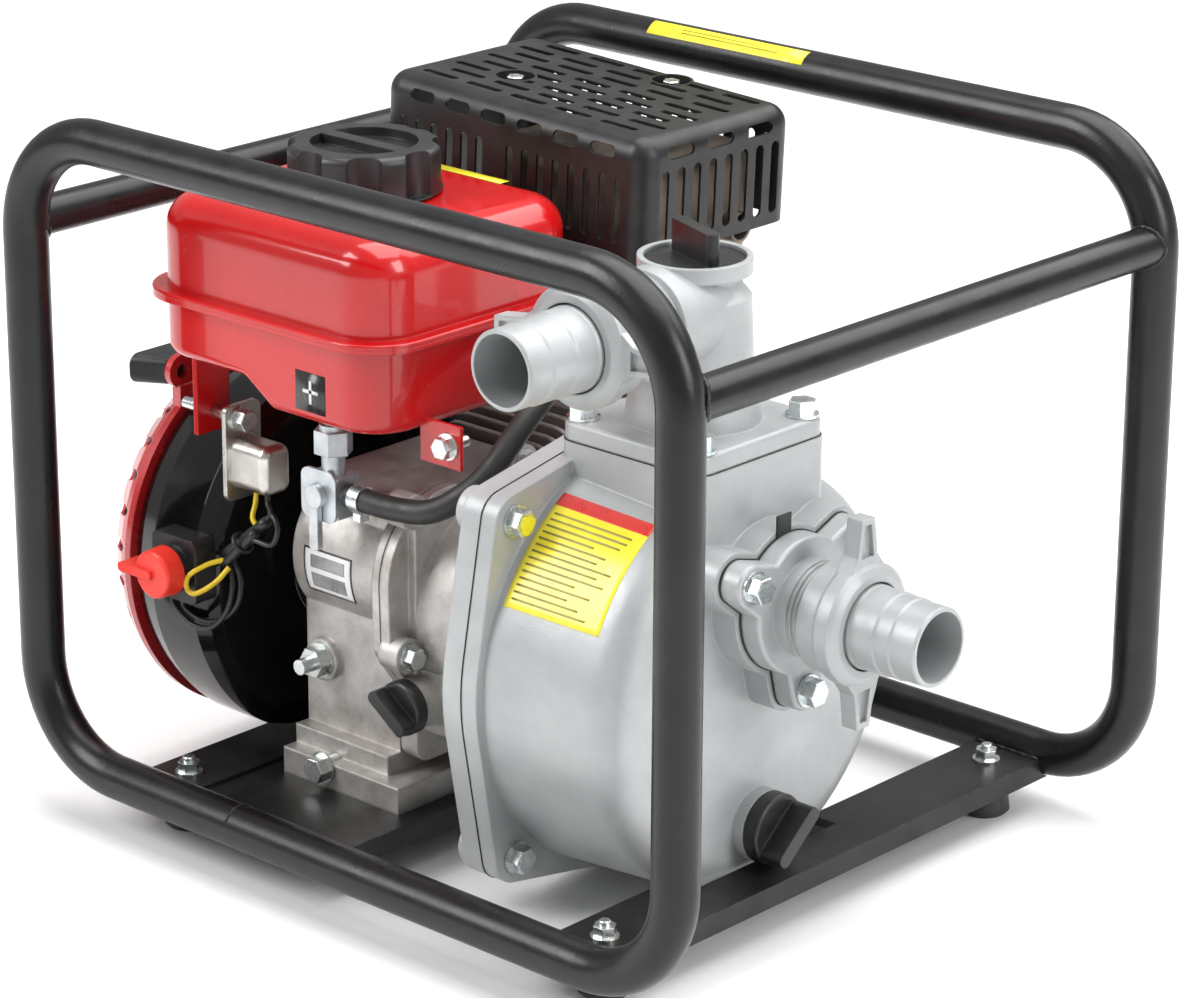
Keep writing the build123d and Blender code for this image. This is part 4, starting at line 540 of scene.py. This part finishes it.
def dress_leads():
    """Leads from the ignition unit through two tied sleeves, then round to the switch."""
    black_wire = finish["wire_sleeve"]
    lead_radius = 1.35 * MM
    leads = [
        ("lead_yellow_unit", yellow_wire, [
            (-136, -106, 173), (-136, -107, 166), (-134, -111, 160), (-127, -114, 157),
        ]),
        ("lead_black_unit", black_wire, [
            (-128, -106, 173), (-127, -107, 168), (-122, -110, 165), (-121, -114, 161),
        ]),
        ("lead_black_bight", black_wire, [
            (-122, -115, 160), (-115, -116, 167), (-109, -117.5, 162), (-112, -119, 153),
            (-124, -120, 153),
        ]),
        ("lead_yellow_bight", yellow_wire, [
            (-142, -124, 139), (-147, -131, 137), (-152, -138.6, 132), (-153, -139.4, 125.5),
            (-147.5, -138.6, 123.5), (-141, -131, 129), (-138, -124, 136),
        ]),
        ("lead_black_switch", black_wire, [
            (-139, -120, 139), (-133, -121, 129), (-133, -124, 117), (-141, -127, 108),
            (-154, -129, 105), (-165, -130, 109), (-167, -130, 114.5),
        ]),
        ("lead_black_switch_low", black_wire, [
            (-141, -121, 138), (-136, -124, 127), (-137, -127, 114), (-145, -130, 104),
            (-159, -131, 102), (-172, -131, 109), (-174, -130, 114.5),
        ]),
    ]
    sleeves = [
        ("lead_sleeve_upper", (-119, -114.5, 163), (-145, -120.5, 140), 2.9 * MM),
        ("lead_sleeve_lower", (-123, -119, 157), (-142, -123, 137), 2.6 * MM),
    ]
    made = [
        swept(name, smooth_run(points), lead_radius, material)
        for name, material, points in leads
    ]
    made += [
        swept(name, straight_run(start, end), radius, finish["black_plastic"], 16)
        for name, start, end, radius in sleeves
    ]
    made.append(lead_tie())
    for lead in made:
        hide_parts("ignition_wires")


# ================= camera, light and stage =================
def stand_camera():
    """Camera on the side of the delivery outlet and the suction tail, a little above."""
    azimuth, elevation, roll = map(math.radians, (42.59, 19.444, 0.2157))
    target = Vector((-14.05, 0.0, 166.6)) * MM
    distance = 2107.38 * MM
    away = Vector((
        math.sin(azimuth) * math.cos(elevation),
        -math.cos(azimuth) * math.cos(elevation),
        math.sin(elevation),
    ))
    level = Vector((math.cos(azimuth), math.sin(azimuth), 0))
    right = math.cos(roll) * level + math.sin(roll) * away.cross(level)
    up = away.cross(right)
    lens = bpy.data.cameras.new("camera")
    lens.lens = 128.4
    lens.sensor_width = 36
    lens.shift_x = 0.0097
    lens.shift_y = 0.0061
    lens.clip_end = 50
    turn = Matrix((right, up, away)).transposed().to_4x4()
    stand = bpy.data.objects.new("camera", lens)
    stand.matrix_world = Matrix.Translation(target + away * distance) @ turn
    bpy.context.scene.collection.objects.link(stand)
    bpy.context.scene.camera = stand


def lamp(name, place, aim, size, power):
    """White soft box at a place, turned to its aim, in metres and watts."""
    light = bpy.data.lights.new(name, "AREA")
    light.shape = "RECTANGLE"
    light.size, light.size_y = size
    light.energy = power
    stand = bpy.data.objects.new(name, light)
    stand.location = place
    stand.rotation_euler = (Vector(aim) - Vector(place)).to_track_quat("-Z", "Y").to_euler()
    bpy.context.scene.collection.objects.link(stand)


def lay_floor(half_side):
    """Pale seamless floor, in metres."""
    mesh = bpy.data.meshes.new("floor")
    ground = bmesh.new()
    corners = [(-1, -1), (1, -1), (1, 1), (-1, 1)]
    ground.faces.new([ground.verts.new((x * half_side, y * half_side, 0)) for x, y in corners])
    ground.to_mesh(mesh)
    ground.free()
    floor = bpy.data.objects.new("floor", mesh)
    bpy.context.scene.collection.objects.link(floor)
    m = Shader("floor_pale")
    m.color(m.ramp(m.noise(3, 3), [(0.3, (0.86, 0.86, 0.86)), (0.7, (0.89, 0.89, 0.89))]))
    m.set(Roughness=0.6)
    mesh.materials.append(m.material)


def light_stage():
    """Even white sky and four soft boxes."""
    sky_strength = 0.42
    world = bpy.data.worlds.new("studio")
    bpy.context.scene.world = world
    world.use_nodes = True
    sky = world.node_tree.nodes["Background"].inputs
    sky["Color"].default_value = (1, 1, 1, 1)
    sky["Strength"].default_value = sky_strength
    lamp("key", (-1.3, -1.9, 1.9), (0, 0, 0.15), (1.3, 1.6), 62)
    lamp("fill", (2.3, 0.2, 1.3), (0, 0, 0.15), (0.9, 1.6), 34)
    lamp("top", (0.1, 0.3, 2.2), (0, 0, 0.2), (2.4, 1.6), 52)
    lamp("floor_wash", (0.6, 2.6, 2.6), (0, 0.6, 0), (3.0, 2.0), 60)
    bpy.context.scene.view_settings.view_transform = "Standard"


dress_leads()
stand_camera()
lay_floor(6)
light_stage()


# ================= labels =================
def round_face(x, centre, radius, angle):
    """Point on a round face about an axis along X, its angle taken from +Y toward +Z."""
    turn = math.radians(angle)
    return Vector((
        x * MM,
        centre.y + radius * math.cos(turn),
        centre.z + radius * math.sin(turn),
    ))


def on_drum(x, angle, height):
    """Pump casing, which tapers from its flange to its end."""
    radius = DRUM_R - DRUM_TAPER * (x * MM - DRUM_START) / DRUM_LENGTH
    return round_face(x, SHAFT, radius + height, angle)


def on_case(x, angle, height):
    """Round bulge of the crankcase."""
    return round_face(x, CASE_AXIS, CASE_R + height, angle)


def on_hoop(x, angle, height):
    """Top run of the left hoop."""
    return round_face(x, HOOP_TOP_AXIS, HOOP_R + height, angle)


def on_tank_side(x, z, height):
    """Face of the fuel tank toward -Y."""
    return Vector((x * MM, TANK_SIDE_Y - height, z * MM))


def on_tank_top(x, y, height):
    """Top face of the fuel tank."""
    return Vector((x * MM, y * MM, TANK_TOP_Z + height))


def raised(surface, lift):
    """The same surface a little higher, for a layer that lies over a film."""
    return lambda u, v, height: surface(u, v, height + lift)


def print_lines(name, surface, across, along, rows, seed, material):
    """Plain rules of uneven length, standing for print without spelling anything."""
    state, states = seed, 101
    pitch = (along[1] - along[0]) / rows
    for row in range(rows):
        state = (state * 37 + 11) % states
        low = along[0] + pitch * (row + 0.32)
        end = across[0] + (across[1] - across[0]) * (0.55 + 0.4 * state / states)
        film(f"{name}_{row}", raised(surface, OVER_LAYER), (across[0], end),
             (low, low + pitch * 0.3), material, PRINT_THICK, (10, 2))


film("drum_label", on_drum, (54, 111), (121, 154), yellow_film)
film("drum_label_band", raised(on_drum, OVER_FILM), (54, 111), (121, 125), red_film,
     LAYER_THICK)
print_lines("drum_label_rule", on_drum, (57, 108), (126.5, 152.5), 14, 5, print_ink)
film("case_label_edge", on_case, (-110, -76), (169, 205), black_film)
film("case_label", raised(on_case, OVER_FILM), (-109, -77), (170.5, 203.5), white_film,
     LAYER_THICK)
film("case_label_panel", raised(on_case, OVER_LAYER), (-105, -81), (174, 184), print_grey,
     PRINT_THICK)
film("case_label_panel_low", raised(on_case, OVER_LAYER), (-105, -81), (188, 200), print_grey,
     PRINT_THICK)
film("hoop_label", on_hoop, (-118, -12), (102, 150), yellow_film, steps=(8, 24))
print_lines("hoop_label_rule", on_hoop, (-96, -20), (114, 136), 2, 3, print_ink)
film("tank_side_label", on_tank_side, (-88, -67.5), (231, 251), black_film,
     steps=FLAT)
film("tank_side_label_mark", raised(on_tank_side, OVER_FILM), (-83, -72.5), (240.4, 242.2),
     white_film, LAYER_THICK, FLAT)
film("tank_side_label_stem", raised(on_tank_side, OVER_FILM), (-78.7, -76.9), (235, 247),
     white_film, LAYER_THICK, FLAT)
film("tank_top_label", on_tank_top, (-126, -76), (8, 15), yellow_film, steps=FLAT)


# ================= paint mark =================
def paint_mark(name, centre, radius):
    """Dab of marking paint on a bolt head that faces +X, with an uneven outline."""
    sides = 36
    domed = ((1.0, 0.05), (0.94, 0.28), (0.6, 0.36), (0.25, 0.38))  # share of radius, height
    dab = bmesh.new()
    rings = []
    for share, height in domed:
        ring = []
        for angle in turns(sides):
            uneven = 1 + 0.1 * math.sin(3 * angle + 0.6) + 0.06 * math.sin(7 * angle)
            reach = radius * share * uneven
            rise = Vector((height, reach * math.cos(angle), reach * math.sin(angle)))
            ring.append(dab.verts.new((centre + rise) * MM))
        rings.append(ring)
    for low, high in zip(rings, rings[1:]):
        for k in range(sides):
            dab.faces.new((low[k], low[(k + 1) % sides], high[(k + 1) % sides], high[k]))
    dab.faces.new(rings[-1])
    dab.faces.new(rings[0][::-1])
    piece(name, dab, yellow_paint)


paint_mark("bolt_paint_mark", Vector((58.0, -114.0, 204.0)), 4.9)


# ================= welds =================
def weld(name, centres, radius, closed=False, wobble=0.25):
    """Bead painted over with the frame."""
    swept(name, centres, radius, finish["frame_black"], closed=closed, wobble=wobble)


def cope_bead(name, x, side):
    """Round the saddle where a cross tube meets an upright of a hoop."""
    cross_height = 310 * MM
    half_width, half_height = 9.5 * MM, 10.2 * MM
    ring = []
    for angle in turns(72):
        across = half_width * math.cos(angle)
        reach = HOOP_Y - math.sqrt(HOOP_R**2 - across**2)
        ring.append(Vector((x + across, side * reach, cross_height + half_height * math.sin(angle))))
    weld(name, ring, 1.35 * MM, closed=True, wobble=0.22)


def base_bead(name, ends, side, height):
    """Along the inner side of a hoop's low run, where a channel or the tray meets it."""
    reach = HOOP_Y - HOOP_R + 0.15 * MM
    run = [Vector((between(ends, step, 24), side * reach, height)) for step in range(25)]
    weld(name, run, 1.5 * MM)


def closing_bead(name, side):
    """Where a hoop's tube ends meet; the rest of the way round is ground flush."""
    x = -80 * MM
    bead_reach = 11.2 * MM
    arc = []
    for step in range(40):
        angle = math.radians(between((-40, 150), step, 39))
        arc.append(Vector((
            x,
            side * (HOOP_Y - bead_reach * math.cos(angle)),
            HOOP_LOW_Z + bead_reach * math.sin(angle),
        )))
    weld(name, arc, 0.75 * MM, wobble=0.3)


for x, end in ((205 * MM, "front"), (-225 * MM, "rear")):
    for side, hand in HANDS:
        cope_bead(f"weld_{end}_{hand}", x, side)

for first, last, height, label in (
    (117, 156, 28, "front"), (-167, -131, 28, "rear"), (-128, -27, 26.4, "tray"),
):
    for side, hand in HANDS:
        base_bead(f"weld_{label}_base_{hand}", (first * MM, last * MM), side, height * MM)

for side, hand in HANDS:
    closing_bead(f"hoop_closing_weld_{hand}", side)
